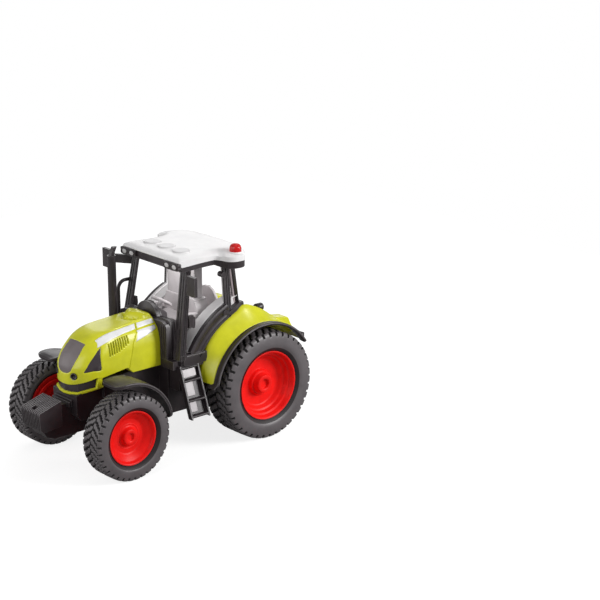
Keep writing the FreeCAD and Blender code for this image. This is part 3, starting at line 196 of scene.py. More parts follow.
def makePiece(name, build, finish, body="tractor", soften=0.25, segments=2, closed=True, stands=()):
    # build holds points in mm and faces; stands names the CAD nodes that the piece stands for
    points, faces = build
    mesh = bpy.data.meshes.new(name)
    mesh.from_pydata([tuple(c * mm for c in p) for p in points], [], faces)
    if closed:
        shell = bmesh.new()
        shell.from_mesh(mesh)
        bmesh.ops.remove_doubles(shell, verts=shell.verts, dist=1e-7)
        bmesh.ops.recalc_face_normals(shell, faces=shell.faces)
        shell.to_mesh(mesh)
        shell.free()
    piece = bpy.data.objects.new(name, mesh)
    bpy.context.scene.collection.objects.link(piece)
    mesh.materials.append(materials[finish])
    for polygon in mesh.polygons:
        polygon.use_smooth = True
    if soften:
        edge = piece.modifiers.new("soft edges", "BEVEL")
        edge.width = soften * mm
        edge.segments = segments
        edge.limit_method = "ANGLE"
        edge.angle_limit = radians(38)
        edge.harden_normals = True
    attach(piece, body)
    for node in stands:
        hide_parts(node)
    return piece


def mirrorOf(build):
    points, faces = build
    return [(-x, y, z) for x, y, z in points], [face[::-1] for face in faces]


def bothSides(name, build, finish, bodies=("tractor", "tractor"), stands=(), **options):
    # the left piece and its mirrored twin; {} in a node's name becomes the side
    pieces = []
    for side, shape, body in zip(("left", "right"), (build, mirrorOf(build)), bodies):
        replaced = [node.format(side) for node in stands]
        pieces.append(makePiece(name + "_" + side, shape, finish, body, stands=replaced, **options))
    return pieces


def secondFinish(piece, finish, wanted):
    # gives the faces that wanted(middle in mm, normal) picks a second finish
    piece.data.materials.append(materials[finish])
    for polygon in piece.data.polygons:
        if wanted(polygon.center / mm, polygon.normal):
            polygon.material_index = 1


def joinParts(*parts):
    # several (points, faces) in one, so that a piece can hold many small solids
    points, faces = [], []
    for partPoints, partFaces in parts:
        start = len(points)
        points += list(partPoints)
        faces += [tuple(i + start for i in face) for face in partFaces]
    return points, faces


def strips(rows, closedAround=False, caps=False):
    # quads between rows of points; each row has the same number of points
    count = len(rows[0])
    points = [p for row in rows for p in row]
    faces = []
    for r in range(len(rows) - 1):
        for i in range(count if closedAround else count - 1):
            a, b = r * count + i, r * count + (i + 1) % count
            faces.append((a, b, b + count, a + count))
    if caps:
        faces.append(tuple(range(count))[::-1])
        faces.append(tuple(range((len(rows) - 1) * count, len(rows) * count)))
    return points, faces


def tube(rows):
    # closed solid through closed rows of points
    return strips(rows, True, True)


def extruded(outline, axis, low, high):
    # (across, up) pairs pushed along an axis: (y, z) for x, (x, z) for y, (x, y) for z
    at = {"x": 0, "y": 1, "z": 2}[axis]
    return tube([[(a, b)[:at] + (offset,) + (a, b)[at:] for a, b in outline] for offset in (low, high)])


def block(low, high):
    outline = [(low[0], low[1]), (high[0], low[1]), (high[0], high[1]), (low[0], high[1])]
    return extruded(outline, "z", low[2], high[2])


def turned(profile, steps, centre, axis="x"):
    # profile of (along, radius) pairs about an axis through centre
    rows = []
    for s in range(steps):
        a = tau * s / steps
        row = []
        for along, radius in profile:
            u, v = radius * cos(a), radius * sin(a)
            offset = {"x": (along, u, v), "y": (v, along, u), "z": (u, v, along)}[axis]
            row.append(tuple(c + o for c, o in zip(centre, offset)))
        rows.append(row)
    return strips(rows + [rows[0]])


def alongLine(points, radius, around=10):
    # round bar through points
    path = [Vector(p) for p in points]
    rows = []
    side = None
    for i, p in enumerate(path):
        ahead = (path[min(i + 1, len(path) - 1)] - path[max(i - 1, 0)]).normalized()
        if side is None:
            side = ahead.cross(Vector((0.123, 0.456, 0.88)))  # any line that isn't along the bar
        side = (side - ahead * side.dot(ahead)).normalized()
        up = ahead.cross(side)
        rows.append([tuple(p + (side * cos(tau * k / around) + up * sin(tau * k / around)) * radius)
                     for k in range(around)])
    return tube(rows)


def aroundAxle(axle, radius, turn):
    # (y, z) at a distance from an axle, by the angle in degrees up from straight back
    return axle["y"] + radius * cos(radians(turn)), axle["z"] + radius * sin(radians(turn))


def spaced(low, high, steps):
    return [low + (high - low) * i / steps for i in range(steps + 1)]


def ease(low, high, value):
    t = min(max((value - low) / (high - low), 0), 1)
    return t * t * (3 - 2 * t)


def smoothValue(table, key):
    # monotone cubic between the rows of a table of (key, value, value, ...)
    keys = [row[0] for row in table]
    if not keys[0] < key < keys[-1]:
        return list(table[0 if key <= keys[0] else -1][1:])
    i = max(k for k in range(len(keys) - 1) if keys[k] <= key)
    width = keys[i + 1] - keys[i]
    t = (key - keys[i]) / width

    def steepness(a, b, column):
        return (table[b][column] - table[a][column]) / (keys[b] - keys[a])

    def slope(row, column):
        if row in (0, len(table) - 1):
            return steepness(row, 1 if row == 0 else row - 1, column)
        before, after = steepness(row - 1, row, column), steepness(row, row + 1, column)
        return 0.0 if before * after <= 0 else 2 * before * after / (before + after)

    result = []
    for column in range(1, len(table[0])):
        a, b = table[i][column], table[i + 1][column]
        sa, sb = slope(i, column) * width, slope(i + 1, column) * width
        result.append((2 * t ** 3 - 3 * t ** 2 + 1) * a + (t ** 3 - 2 * t ** 2 + t) * sa
                      + (3 * t ** 2 - 2 * t ** 3) * b + (t ** 3 - t ** 2) * sb)
    return result


def lineValue(line, key):
    # straight runs between (key, value) pairs
    if key <= line[0][0]:
        return line[0][1]
    for (a, va), (b, vb) in zip(line, line[1:]):
        if key <= b:
            return va + (vb - va) * (key - a) / (b - a)
    return line[-1][1]


def pathDistance(line, point, closed=False):
    best = 1e9
    for (ax, ay), (bx, by) in list(zip(line, line[1:])) + ([(line[-1], line[0])] if closed else []):
        dx, dy = bx - ax, by - ay
        t = min(max(((point[0] - ax) * dx + (point[1] - ay) * dy) / (dx * dx + dy * dy), 0), 1)
        best = min(best, hypot(point[0] - ax - t * dx, point[1] - ay - t * dy))
    return best


def within(outline, point):
    inside = False
    for (ax, ay), (bx, by) in zip(outline, outline[1:] + outline[:1]):
        if (ay > point[1]) != (by > point[1]) and point[0] < (bx - ax) * (point[1] - ay) / (by - ay) + ax:
            inside = not inside
    return inside


def rounded(outline, steps=4):
    # Catmull-Rom curve through a closed outline
    result = []
    for i in range(len(outline)):
        p0, p1, p2, p3 = (Vector(outline[(i + k) % len(outline)]) for k in (-1, 0, 1, 2))
        for t in (s / steps for s in range(steps)):
            result.append(tuple(0.5 * (2 * p1 + (p2 - p0) * t + (2 * p0 - 5 * p1 + 4 * p2 - p3) * t * t
                                       + (3 * p1 - p0 - 3 * p2 + p3) * t ** 3)))
    return result


def wholeOutline(half):
    # a smooth closed line through half an outline and its mirror image
    return rounded(half + [(-x, y) for x, y in reversed(half[1:-1])])


def turning(outline):
    area = sum(a[0] * b[1] - b[0] * a[1] for a, b in zip(outline, outline[1:] + outline[:1]))
    return 1 if area > 0 else -1


def inset(outline, amount):
    # the outline moved inwards by a little
    result = []
    turn = turning(outline)
    for i in range(len(outline)):
        before, here, after = (Vector(outline[(i + k) % len(outline)]) for k in (-1, 0, 1))
        along = (after - before).normalized()
        result.append(tuple(here + Vector((-along.y, along.x)) * amount * turn))
    return result


def finer(line, step):
    # more points on straight runs, so that the corners between them stay sharp
    result = []
    for a, b in zip(line, line[1:]):
        count = max(int((Vector(b) - Vector(a)).length / step), 1)
        result += [tuple(Vector(a).lerp(Vector(b), i / count)) for i in range(count)]
    return result + [line[-1]]


def flatMesh(outline, inner, spacing, start, keepOff):
    # triangles that fill an outline, through the inner points and a grid of points away from its edge
    ring = [Vector(p) for p in outline]
    inner = [Vector(p) for p in inner]
    low = (min(p.x for p in ring) + start, min(p.y for p in ring) + start)
    high = (max(p.x for p in ring), max(p.y for p in ring))
    b = low[1]
    while b < high[1]:
        a = low[0]
        while a < high[0]:
            if within(outline, (a, b)) and pathDistance(outline, (a, b), True) > keepOff:
                inner.append(Vector((a, b)))
            a += spacing
        b += spacing
    found = delaunay_2d_cdt(ring + inner, [], [list(range(len(ring)))], 1, 1e-5)
    return found[0], found[2]


def closedSheet(top, bottom, triangles):
    size = len(top)
    faces = [tuple(face) for face in triangles]
    faces += [tuple(i + size for i in reversed(face)) for face in faces]
    edges = {(a, b) for face in triangles for a, b in zip(face, list(face[1:]) + [face[0]])}
    faces += [(b, a, a + size, b + size) for a, b in sorted(edges) if (b, a) not in edges]
    return list(top) + list(bottom), faces


# stage: pale paper floor that glows for the camera only, soft lamps and the camera
lamps = {
    "overhead": {"at": (0.10, 0.05, 0.95), "size": 0.8, "power": 0.7},
    "nearSide": {"at": (0.86, 0.60, 0.50), "size": 0.42, "power": 10.8},
    "noseSide": {"at": (0.10, -0.95, 0.45), "size": 0.6, "power": 3.6},
    "farSide": {"at": (-0.85, 0.75, 0.62), "size": 0.8, "power": 3.8},
    "noseGlow": {"at": (-0.74, -0.74, 0.22), "size": 0.75, "power": 2.6},
    "cabFill": {"at": (0.0, 0.022, 0.1315), "size": 0.03, "power": 0.012},
}
camera = {"at": (0.9970, -0.7429, 0.4833), "turn": 48.54, "tilt": 16.99, "lens": 109.2}
stage = {"half": 0.62, "paper": 0.35, "paperGlow": 0.80, "world": 0.34, "aim": (0, 0.015, 0.06)}


def addObject(name, data):
    holder = bpy.data.objects.new(name, data)
    bpy.context.scene.collection.objects.link(holder)
    return holder


def makeStage():
    world = bpy.data.worlds.new("studio")
    bpy.context.scene.world = world
    world.use_nodes = True
    tree = world.node_tree
    background = tree.nodes["Background"]
    background.inputs["Color"].default_value = (1, 1, 1, 1)
    rays = addNode(tree, "LightPath").outputs["Is Camera Ray"]
    tree.links.new(ranged(tree, rays, stage["world"], 1.0), background.inputs["Strength"])

    half = stage["half"]
    mesh = bpy.data.meshes.new("floor")
    mesh.from_pydata([(-half, -half, 0), (half, -half, 0), (half, half, 0), (-half, half, 0)], [],
                     [(0, 1, 2, 3)])
    paper, tree = newMaterial("paper")[:2]
    tree.nodes.clear()
    diffuse = addNode(tree, "BsdfDiffuse", Color=(stage["paper"],) * 3 + (1,)).outputs[0]
    rays = addNode(tree, "LightPath").outputs["Is Camera Ray"]
    glow = addNode(tree, "Emission", Strength=ranged(tree, rays, 0.0, stage["paperGlow"])).outputs[0]
    both = addNode(tree, "AddShader")
    for value, socket in zip((diffuse, glow), both.inputs):
        tree.links.new(value, socket)
    addNode(tree, "OutputMaterial", Surface=both.outputs[0])
    mesh.materials.append(paper)
    addObject("floor", mesh)


def makeLights():
    for name, lamp in lamps.items():
        light = bpy.data.lights.new(name, "AREA")
        light.size = lamp["size"]
        light.energy = lamp["power"]
        holder = addObject(name, light)
        holder.location = lamp["at"]
        holder.rotation_euler = (Vector(stage["aim"]) - holder.location).to_track_quat("-Z", "Y").to_euler()


def makeCamera():
    lens = bpy.data.cameras.new("camera")
    lens.lens = camera["lens"]
    lens.sensor_width = 36
    lens.clip_start = 0.01
    holder = addObject("camera", lens)
    holder.location = camera["at"]
    turn, tilt = radians(camera["turn"]), radians(camera["tilt"])
    ahead = Vector((-sin(turn) * cos(tilt), cos(turn) * cos(tilt), -sin(tilt)))
    holder.rotation_euler = ahead.to_track_quat("-Z", "Y").to_euler()
    bpy.context.scene.camera = holder
    bpy.context.scene.view_settings.view_transform = "Standard"


makeStage()
makeLights()
makeCamera()
print("stage, lights and camera ready")

tyres = {
    "front": {"face": frontHigh[0], "width": frontHigh[0] - frontLow[0], "radius": frontAxle["z"],
              "bead": 19.4, "plate": 22.8, "lugs": 36, "depth": 2.0, "axle": frontAxle},
    "rear": {"face": rearHigh[0], "width": rearHigh[0] - rearLow[0], "radius": rearAxle["z"],
             "bead": 25.5, "plate": 30.5, "lugs": 40, "depth": 2.3, "axle": rearAxle},
}
tread = {
    "columns": 18,  # mesh columns in one lug's pitch
    # grooves in one pitch: (along, across) from, (along, across) to and half a groove's width; along the
    # tyre in pitches, across it in half widths
    "grooves": [(-0.06, 0.03, 0.26, 0.10, 0.095), (0.26, 0.10, 0.26, 0.31, 0.095),
                (0.26, 0.31, 0.60, 0.38, 0.095), (0.50, 0.50, 0.82, 0.55, 0.09),
                (0.82, 0.55, 0.80, 0.72, 0.09), (0.80, 0.72, 1.10, 0.78, 0.08)],
    "shoulder": {"place": 0.34, "half": 0.085, "from": 0.76},
    # rows past the flat tread: share of the half width, land and groove drop, place in the pattern, inset
    "edge": [(0.85, 0.42, 0.2, 0.90, 0.1), (0.895, 0.9, 0.35, 0.94, 0.2), (0.925, 1.6, 0.5, 0.96, 0.3),
             (0.945, 2.3, 0.6, 0.98, 0.25), (0.957, 3.0, 0.8, 1.0, 0.1)],
    "wall": 3.5,
}


def treadHeight(pitch, across):
    # 1 on a block and 0 in a groove: pitch counts lugs round the tyre, across runs -1 to 1
    wide = abs(across)
    place = pitch + (0.5 if across > 0 else 0)
    place -= floor(place)
    height = 1.0
    for a0, w0, a1, w1, half in tread["grooves"]:
        if wide > max(w0, w1) + 0.1 or wide < min(w0, w1) - 0.1:
            continue
        for shift in (-2, -1, 0, 1):
            # distance to the groove's middle line, with half the tyre's width about twice a pitch
            line = [(a0, 2 * w0), (a1, 2 * w1)]
            height = min(height, ease(half, half + 0.06, pathDistance(line, (place - shift, 2 * wide))))
    shoulder = tread["shoulder"]
    if wide > shoulder["from"]:
        away = place - shoulder["place"] - 0.10 * (wide - 0.56)
        away = abs(away - floor(away + 0.5))
        inner = ease(shoulder["from"] + 0.06, shoulder["from"], wide)
        height = min(height, max(ease(shoulder["half"], shoulder["half"] + 0.07, away), inner))
    return height


def wallProfile(half, top, foot):
    # outer side wall from the shoulder to the bead
    profile = []
    for share in (0, 0.08, 0.16, 0.25, 0.35, 0.45, 0.55, 0.65, 0.75, 0.84, 0.91, 0.96, 1.0):
        if share < 0.42:
            bulge = half * (1 - 0.035 * (1 - share / 0.42) ** 2)
        else:
            bulge = half - 3.2 * ((share - 0.42) / 0.58) ** 2.3
        profile.append((bulge, top + (foot - top) * share))
    return profile


def tyreMesh(size):
    half, radius, depth = size["width"] / 2, size["radius"], size["depth"]
    centre = size["face"] - half
    # (across the tyre, land radius, groove radius, place in the tread pattern, inset of the groove)
    lands = []
    for share in (0.04 * step for step in range(21)):
        lands.append((share * half, radius - 0.3 * share ** 2, radius - depth - 0.3 * share ** 2,
                      share * 1.06, 0))
    for share, land, groove, place, aside in tread["edge"]:
        lands.append((share * half, radius - land, radius - depth - groove, place, aside))
    wallTop = radius - tread["wall"]
    wall = wallProfile(half, wallTop, size["bead"] + 0.2)
    # the side towards the tractor opens wider, round a flat plate of the rim
    wallInside = [(-wall[0][0], wallTop)]
    for share in (0.15, 0.3, 0.45, 0.6, 0.75, 0.9, 1.0):
        across = half - 0.4 * share - 1.6 * share ** 3
        wallInside.append((-across, wallTop + (size["plate"] + 0.1 - wallTop) * share))
    rows = []
    steps = size["lugs"] * tread["columns"]
    for step in range(steps):
        pitch = size["lugs"] * step / steps
        profile = wallInside[::-1]
        for side, part in ((-1, lands[:0:-1]), (1, lands)):
            for x, land, low, across, aside in part:
                height = treadHeight(pitch, side * across)
                profile = profile + [(side * (x - aside * (1 - height)), low + (land - low) * height)]
        turn = 360 * step / steps
        rows.append([(centre + x,) + aroundAxle(size["axle"], r, turn) for x, r in profile + wall])
    return strips(rows + [rows[0]])


def beadRing(size):
    # closes the tyre inside, down to the rim's barrel
    half, bead, plate = size["width"] / 2, size["bead"], size["plate"]
    profile = [(-half + 2.0, plate + 0.1), (-half + 2.4, plate - 0.6), (-half + 4.2, bead - 1.4),
               (half - 3.4, bead - 1.4), (half - 2.4, bead + 0.2)]
    return turned(profile, 96, (size["face"] - half, size["axle"]["y"], size["axle"]["z"]))


def inGroove(size):
    # the grooves' floors and walls are painted darker than the land, as painted shade
    half = size["width"] / 2

    def wanted(place, normal):
        across = abs(abs(place.x) - (size["face"] - half)) / half
        land = size["radius"] - 0.3 * across ** 2 - 1.3 * ease(0.84, 0.94, across)
        return across < 0.95 and hypot(place.y - size["axle"]["y"], place.z - size["axle"]["z"]) < land - 0.6
    return wanted


for end, size in tyres.items():
    bodies = "wheel_%s_left" % end, "wheel_%s_right" % end
    for piece in bothSides("tyre_%s_rubber" % end, joinParts(tyreMesh(size), beadRing(size)), "tyreRubber",
                           bodies, ["tyre_%s_{}" % end], soften=0, closed=False):
        secondFinish(piece, "tyreGroovePaintedShade", inGroove(size))
print("tyres ready")

# rims: (along, radius) from the outer face inwards
rims = {
    "front": {"face": frontHigh[0] - 2.3, "inner": frontLow[0], "axle": frontAxle, "profile": [
        (0.0, 19.4), (0.0, 18.9), (-0.25, 18.3), (-0.8, 17.9), (-2.2, 17.4), (-2.6, 16.9), (-3.2, 15.6),
        (-5.4, 13.2), (-6.0, 12.4), (-6.1, 11.6), (-6.1, 9.2), (-5.9, 9.0), (-5.9, 8.6), (-6.1, 8.4),
        (-6.1, 7.4), (-5.5, 6.6), (-4.2, 6.0), (-2.9, 5.6), (-2.6, 5.2), (-2.6, 3.2), (-2.9, 2.8),
        (-4.3, 2.6), (-4.5, 0.0)]},
    "rear": {"face": rearHigh[0] - 2.3, "inner": rearLow[0], "axle": rearAxle, "profile": [
        (0.0, 25.5), (0.0, 25.0), (-0.3, 24.4), (-1.0, 23.9), (-3.6, 23.3), (-4.0, 22.9), (-4.2, 22.0),
        (-4.6, 21.7), (-7.0, 21.2), (-7.4, 20.8), (-7.6, 19.9), (-8.0, 19.5), (-10.2, 18.2), (-10.9, 17.4),
        (-11.0, 16.4), (-11.0, 10.2), (-10.6, 9.7), (-8.6, 9.2), (-8.3, 8.9), (-8.3, 8.0), (-8.0, 7.7),
        (-4.5, 6.6), (-4.0, 6.3), (-3.9, 5.9), (-3.9, 4.1), (-4.2, 3.7), (-6.2, 3.4), (-6.4, 0.0)]},
}


def rimMesh(rim, edge):
    # dished outside, a barrel behind it, a hub tube and a flat plate of radius edge inside
    bead = rim["profile"][0][1]
    back = rim["inner"] - rim["face"] + 1
    depth = min(along for along, radius in rim["profile"])
    centre = (rim["face"], rim["axle"]["y"], rim["axle"]["z"])
    dish = rim["profile"] + [
        (depth - 1.4, 0.0), (depth - 1.4, bead * 0.68), (depth - 0.6, bead - 2.9), (back, bead - 2.8),
        (back, bead - 0.4), (back + 0.6, bead - 0.1), (back + 1.2, bead - 1.5), (-1.6, bead - 1.5),
        (-1.4, bead), rim["profile"][0]]
    hub = [(depth, 0), (depth, 4.6), (back + 0.3, 4.6), (back, 4.3), (back, 1.6)]
    plate = [(back + 2.2, 4.4), (back + 2.0, edge * 0.42), (back + 1.2, edge * 0.46),
             (back + 1.0, edge - 3.4), (back + 0.4, edge - 2.6), (back + 0.3, edge - 0.4), (back + 0.7, edge),
             (back + 1.8, edge), (back + 2.6, edge - 1.0), (back + 3.2, 4.4), (back + 2.2, 4.4)]
    return joinParts(turned(dish, 128, centre), turned(hub, 48, centre), turned(plate, 96, centre))


for end, rim in rims.items():
    bothSides("rim_%s_moulded" % end, rimMesh(rim, tyres[end]["plate"]), "redPlastic",
              ("wheel_%s_left" % end, "wheel_%s_right" % end), ["rim_%s_{}" % end], soften=0.18)
print("rims ready")

hoodLow, hoodHigh = boxOf("hood")
hood = {
    "rear": hoodHigh[1], "nose": hoodLow[1], "half": hoodHigh[0], "foot": hoodLow[2], "rise": 36.0,
    "fixed": 78,  # rows below this height follow the foot's edge, which steps up over the front axle
    # share of the rise, nose set back, side set in, corners rounded by a share of the half width
    "levels": [(0.0, 0.0, 0.0, 0.925), (0.3, 0.5, 0.0, 0.925), (0.415, 1.9, 0.1, 0.92),
               (0.525, 4.1, 0.2, 0.91), (0.685, 9.2, 1.2, 0.88), (0.805, 14.4, 2.8, 0.83),
               (0.92, 24.0, 6.6, 0.71), (1.0, 52.0, 9.6, 0.58)],
    "footLine": [(-80.4, 61.1), (-76.1, 62.8), (-69.8, 65.0), (-66.0, 66.2), (-60.4, 65.5), (-39.6, 68.0),
                 (-35.3, 63.6), (0, 63.6)],  # (y, z)
    "shoulder": [(12.0, -63.5), (12.6, -56), (12.9, -47.5), (12.2, -38), (11.5, -27.5),
                 (10.9, -11)],  # (x, y)
    "crease": 0.30, "rows": 150, "samples": 600, "columns": {"side": 156, "corner": 46, "nose": 5},
    "ridge": 0.35,
    "seam": [(-26.6, 96.2), (-28.3, 92.5), (-33.8, 84.5), (-39.4, 63.0)],  # (y, z) down each side
    "seamDepth": 0.6,
    "grille": [(0, 89.5), (5.0, 89.3), (9.2, 88.6), (9.3, 86.5), (9.8, 84.0), (9.9, 80.5), (9.3, 76.5),
               (8.5, 73.4), (7.2, 70.6), (4.6, 68.9), (2.2, 68.3), (0, 68.2)],  # (x, z)
    "vent": [(-59.8, 86.9), (-61.4, 79.5), (-61.5, 71.2), (-68.0, 70.9), (-73.7, 70.4), (-71.3, 75.4),
             (-68.3, 79.4), (-63.7, 84.3), (-61.2, 86.4)],  # (y, z)
    "sunk": 0.5, "lampHole": (9.7, 67.6, 2.5), "holeDepth": 1.9,
}
louvres = {"first": -54.1, "pitch": 2.02, "count": 9, "half": 0.46, "depth": 1.0,
           "top": [(-54.2, 88.0), (-46.2, 90.0), (-37.0, 91.0)], "foot": [
               (-54.0, 79.1), (-46.0, 80.9), (-38.0, 84.9)]}
dome = {"point": -26.4, "half": 10.2, "sweep": 0.62, "rear": hood["rear"], "foot": 96.6, "height": 4.4,
        "columns": 40, "rows": 36, "hollow": 1.7}


def hoodLevel(share):
    setBack, setIn, corner = smoothValue(hood["levels"], share)
    half = hood["half"] - setIn
    return hood["nose"] + setBack, half, corner * half


def hoodRow(share):
    # one level line, from the left rear round the nose to the right rear
    front, half, corner = hoodLevel(share)
    start, low, fixed, columns = front + corner, hood["foot"], hood["fixed"], hood["columns"]
    z = low + hood["rise"] * share
    row = [(half, hood["rear"] + (start - hood["rear"]) * i / columns["side"])
           for i in range(columns["side"])]
    for i in range(columns["corner"]):
        a = pi / 2 * i / columns["corner"]
        row.append((half - corner + corner * cos(a), start - corner * sin(a)))
    row += [((half - corner) * (1 - i / columns["nose"]), front)
            for i in range(columns["nose"])] + [(0.0, front)]
    left = []
    for x, y in row:
        foot = lineValue(hood["footLine"], y)
        left.append((x, y, foot + (z - low) * (fixed - foot) / (fixed - low) if z < fixed else z))
    return left + [(-x, y, h) for x, y, h in left[-2::-1]]


def hoodRows():
    # rows are spaced evenly along the nose and the sides together
    fine = spaced(0, 1, hood["samples"])
    lengths = [0.0]
    for a, b in zip(fine, fine[1:]):
        lengths.append(lengths[-1] + hypot((b - a) * hood["rise"], 0.7 * (hoodLevel(b)[0] - hoodLevel(a)[0])))
    rows = []
    for want in spaced(0, lengths[-1], hood["rows"]):
        k = min(max(i for i in range(len(lengths)) if lengths[i] <= want), len(fine) - 2)
        rows.append(hoodRow(fine[k] + (fine[k + 1] - fine[k])
                            * (want - lengths[k]) / (lengths[k + 1] - lengths[k])))
    front, half, corner = hoodLevel(1.0)
    last = rows[-1]
    for step in (0.25, 0.5, 0.75, 1.0):
        rise = hood["ridge"] * (1 - (1 - step) ** 2)
        rows.append([(x * (1 - step), y + (max(y, front + corner) - y) * step, z + rise) for x, y, z in last])
    return rows


def louvreShare(y, z):
    # 1 inside a slot of the hood's side, 0 outside
    number = floor((y - louvres["first"]) / louvres["pitch"] + 0.5)
    if not 0 <= number < louvres["count"]:
        return 0.0
    middle = louvres["first"] + number * louvres["pitch"]
    away, half = abs(y - middle), louvres["half"]
    end = min(lineValue(louvres["top"], middle) - z, z - lineValue(louvres["foot"], middle))
    if end < -0.3 or away > half + 0.3:
        return 0.0
    return (1 - ease(half - 0.2, half + 0.2, away)) * ease(-0.25, 0.35, end)


def hoodSink(x, y, z):
    # how far the skin is pressed in at a point: the deepest of everything that reaches it
    side = abs(x)
    sinks = [0.0]
    if y < -64 and within(grilleOutline, (side, z)):
        sinks.append(hood["sunk"] * ease(0, 0.5, pathDistance(grilleOutline, (side, z), True)))
    if y < -58 and side > 13 and within(ventOutline, (y, z)):
        sinks.append(hood["sunk"] * ease(0, 0.5, pathDistance(ventOutline, (y, z), True)))
    if y < -58:
        holeX, holeZ, radius = hood["lampHole"]
        away = hypot(side - holeX, z - holeZ)
        sinks.append(hood["holeDepth"] * (1 - ease(radius - 0.5, radius + 0.1, away)))
    if side > 9 and -42 < y < -25:
        sinks.append(hood["seamDepth"] * (1 - ease(0.12, 0.5, pathDistance(hood["seam"], (y, z)))))
    if side > 8 and y > -68 and z > 88:
        sinks.append(hood["crease"] * (1 - ease(0.1, 0.45, pathDistance(hood["shoulder"], (side, y)))))
    if side > 12:
        sinks.append(louvres["depth"] * louvreShare(y, z))
    ahead = dome["point"] + dome["sweep"] * side - y
    if side < 10 and -41 < y < -18 and z > 94 and ahead > 0:
        # hollow ahead of the dome's point
        sinks.append(dome["hollow"] * (1 - ease(0.5, 9.5 - 0.4 * side, ahead)) * (1 - ease(8.0, 9.2, side)))
    return max(sinks)


def sinkGrid(rows, sink):
    # every point moved along the skin's normal, which points inwards
    moved = []
    for r, row in enumerate(rows):
        line = []
        for c, point in enumerate(row):
            up = Vector(rows[min(r + 1, len(rows) - 1)][c]) - Vector(rows[max(r - 1, 0)][c])
            normal = (Vector(row[min(c + 1, len(row) - 1)]) - Vector(row[max(c - 1, 0)])).cross(up)
            normal = Vector((0, 0, 1)) if normal.length < 1e-9 else normal.normalized()
            line.append(tuple(Vector(point) + normal * sink(*point)))
        moved.append(line)
    return moved


grilleOutline = wholeOutline(hood["grille"])
ventOutline = rounded(hood["vent"])
hoodGrid = hoodRows()
sunkGrid = sinkGrid(hoodGrid, hoodSink)
skin = BVHTree.FromPolygons(*strips(hoodGrid))
sunkSkin = BVHTree.FromPolygons(*strips(sunkGrid))


def hoodMesh():
    points, faces = strips(sunkGrid)
    count = len(sunkGrid[0])
    for a in range(count // 2):  # underneath
        b, c, d = a + 1, count - 1 - a, count - 2 - a
        faces.append((a, b, d, c) if b != d else (a, b, c))
    starts = [r * count for r in range(len(sunkGrid))]
    faces.append(tuple(starts + [start + count - 1 for start in starts[-2::-1]]))  # rear
    return points, faces


def onSkin(tree, origin, direction, lift, spare):
    # where a line of sight meets a skin, lifted off it; spare is for a line that misses
    place, normal, index, distance = tree.ray_cast(Vector(origin), Vector(direction))
    if place is None:
        return Vector(spare)
    return place + normal * (-lift if normal.dot(Vector(direction)) > 0 else lift)


def fromNose(tree):
    return lambda x, z, lift: onSkin(tree, (x, -140, z), (0, 1, 0), lift, (x, -66, z))


def fromSide(tree):
    return lambda y, z, lift: onSkin(tree, (90, y, z), (-1, 0, 0), lift, (12, y, z))


def fromAbove(tree):
    return lambda x, y, lift: onSkin(tree, (x, y, 140), (0, 0, -1), lift, (x, y, 90))


def fromShoulder(tree):
    # looks at the skin slantwise: (y, t) with t counted up the slanted view
    return lambda y, t, lift: onSkin(tree, (72 - 0.6 * t, y, 54 + 0.8 * t), (-0.8, 0, -0.6), lift,
                                     (12, y, 90))


def draped(outline, project, thick, spacing=0.9):
    # a thin sheet cut to an outline and laid on a skin: project(a, b, lift) gives a point on the skin
    flat, triangles = flatMesh(outline, [], spacing, spacing / 2, spacing * 0.35)
    top, bottom = [[tuple(project(p.x, p.y, lift)) for p in flat] for lift in (thick, -0.25)]
    return closedSheet(top, bottom, triangles)


def inLouvre(place, normal):
    return abs(place.x) > 12 and louvreShare(place.y, place.z) > 0.7


cover = makePiece("hood_cover", hoodMesh(), "greenPlastic", soften=0, stands=["hood"])
# faces inside the louvre slots get a darker green as painted shade
secondFinish(cover, "louvrePaintedShade", inLouvre)
panels = {"thick": 0.12, "grilleInset": 0.45, "ventInset": 0.4}
grillePanel = draped(inset(grilleOutline, panels["grilleInset"]), fromNose(sunkSkin), panels["thick"])
# the grille panel is painted a lighter grey than the vents as a painted broad highlight
makePiece("grille_panel", grillePanel, "grilleSheenPanel", soften=0, stands=["grille"])
ventPanel = draped(inset(ventOutline, panels["ventInset"]), fromSide(sunkSkin), panels["thick"])
bothSides("side_vent_panel", ventPanel, "darkPanel", soften=0, stands=["side_vent_{}"])

stripes = {
    "thick": 0.07, "beside": 0.55, "steps": 20,
    # long stripes: the lower line as (y, z) seen from the side; the top runs beside the shoulder's crease
    "long": {"front": {"foot": [(-62.4, 86.6), (-57.7, 88.5), (-50.0, 90.5), (-40.9, 91.9), (-28.9, 92.9)],
                       "from": -61.6, "to": -27.6},
             "rear": {"foot": [(-26.9, 93.0), (-17.0, 93.6), (-11.9, 93.9)], "from": -25.8, "to": -11.8}},
    "wedge": [(-28.3, 91.9), (-19.5, 92.4), (-12.0, 92.7), (-12.4, 90.4), (-19.0, 88.2), (-31.2, 84.9)],
}


def slanted(place):
    return place.y, -0.6 * place.x + 0.8 * place.z


for end, stripe in stripes["long"].items():
    foot = [slanted(fromSide(skin)(y, z, 0)) for y, z in finer(stripe["foot"], 2.0)]
    crease = [(y, x) for x, y in hood["shoulder"]]
    top = [(y, slanted(fromAbove(skin)(lineValue(crease, y) + stripes["beside"], y, 0))[1])
           for y in spaced(stripe["to"], stripe["from"], stripes["steps"])]
    bothSides("hood_stripe_" + end, draped(foot + top, fromShoulder(skin), stripes["thick"]), "whiteFilm",
              soften=0)
bothSides("hood_stripe_wedge", draped(stripes["wedge"], fromSide(skin), stripes["thick"]), "whiteFilm",
          soften=0)


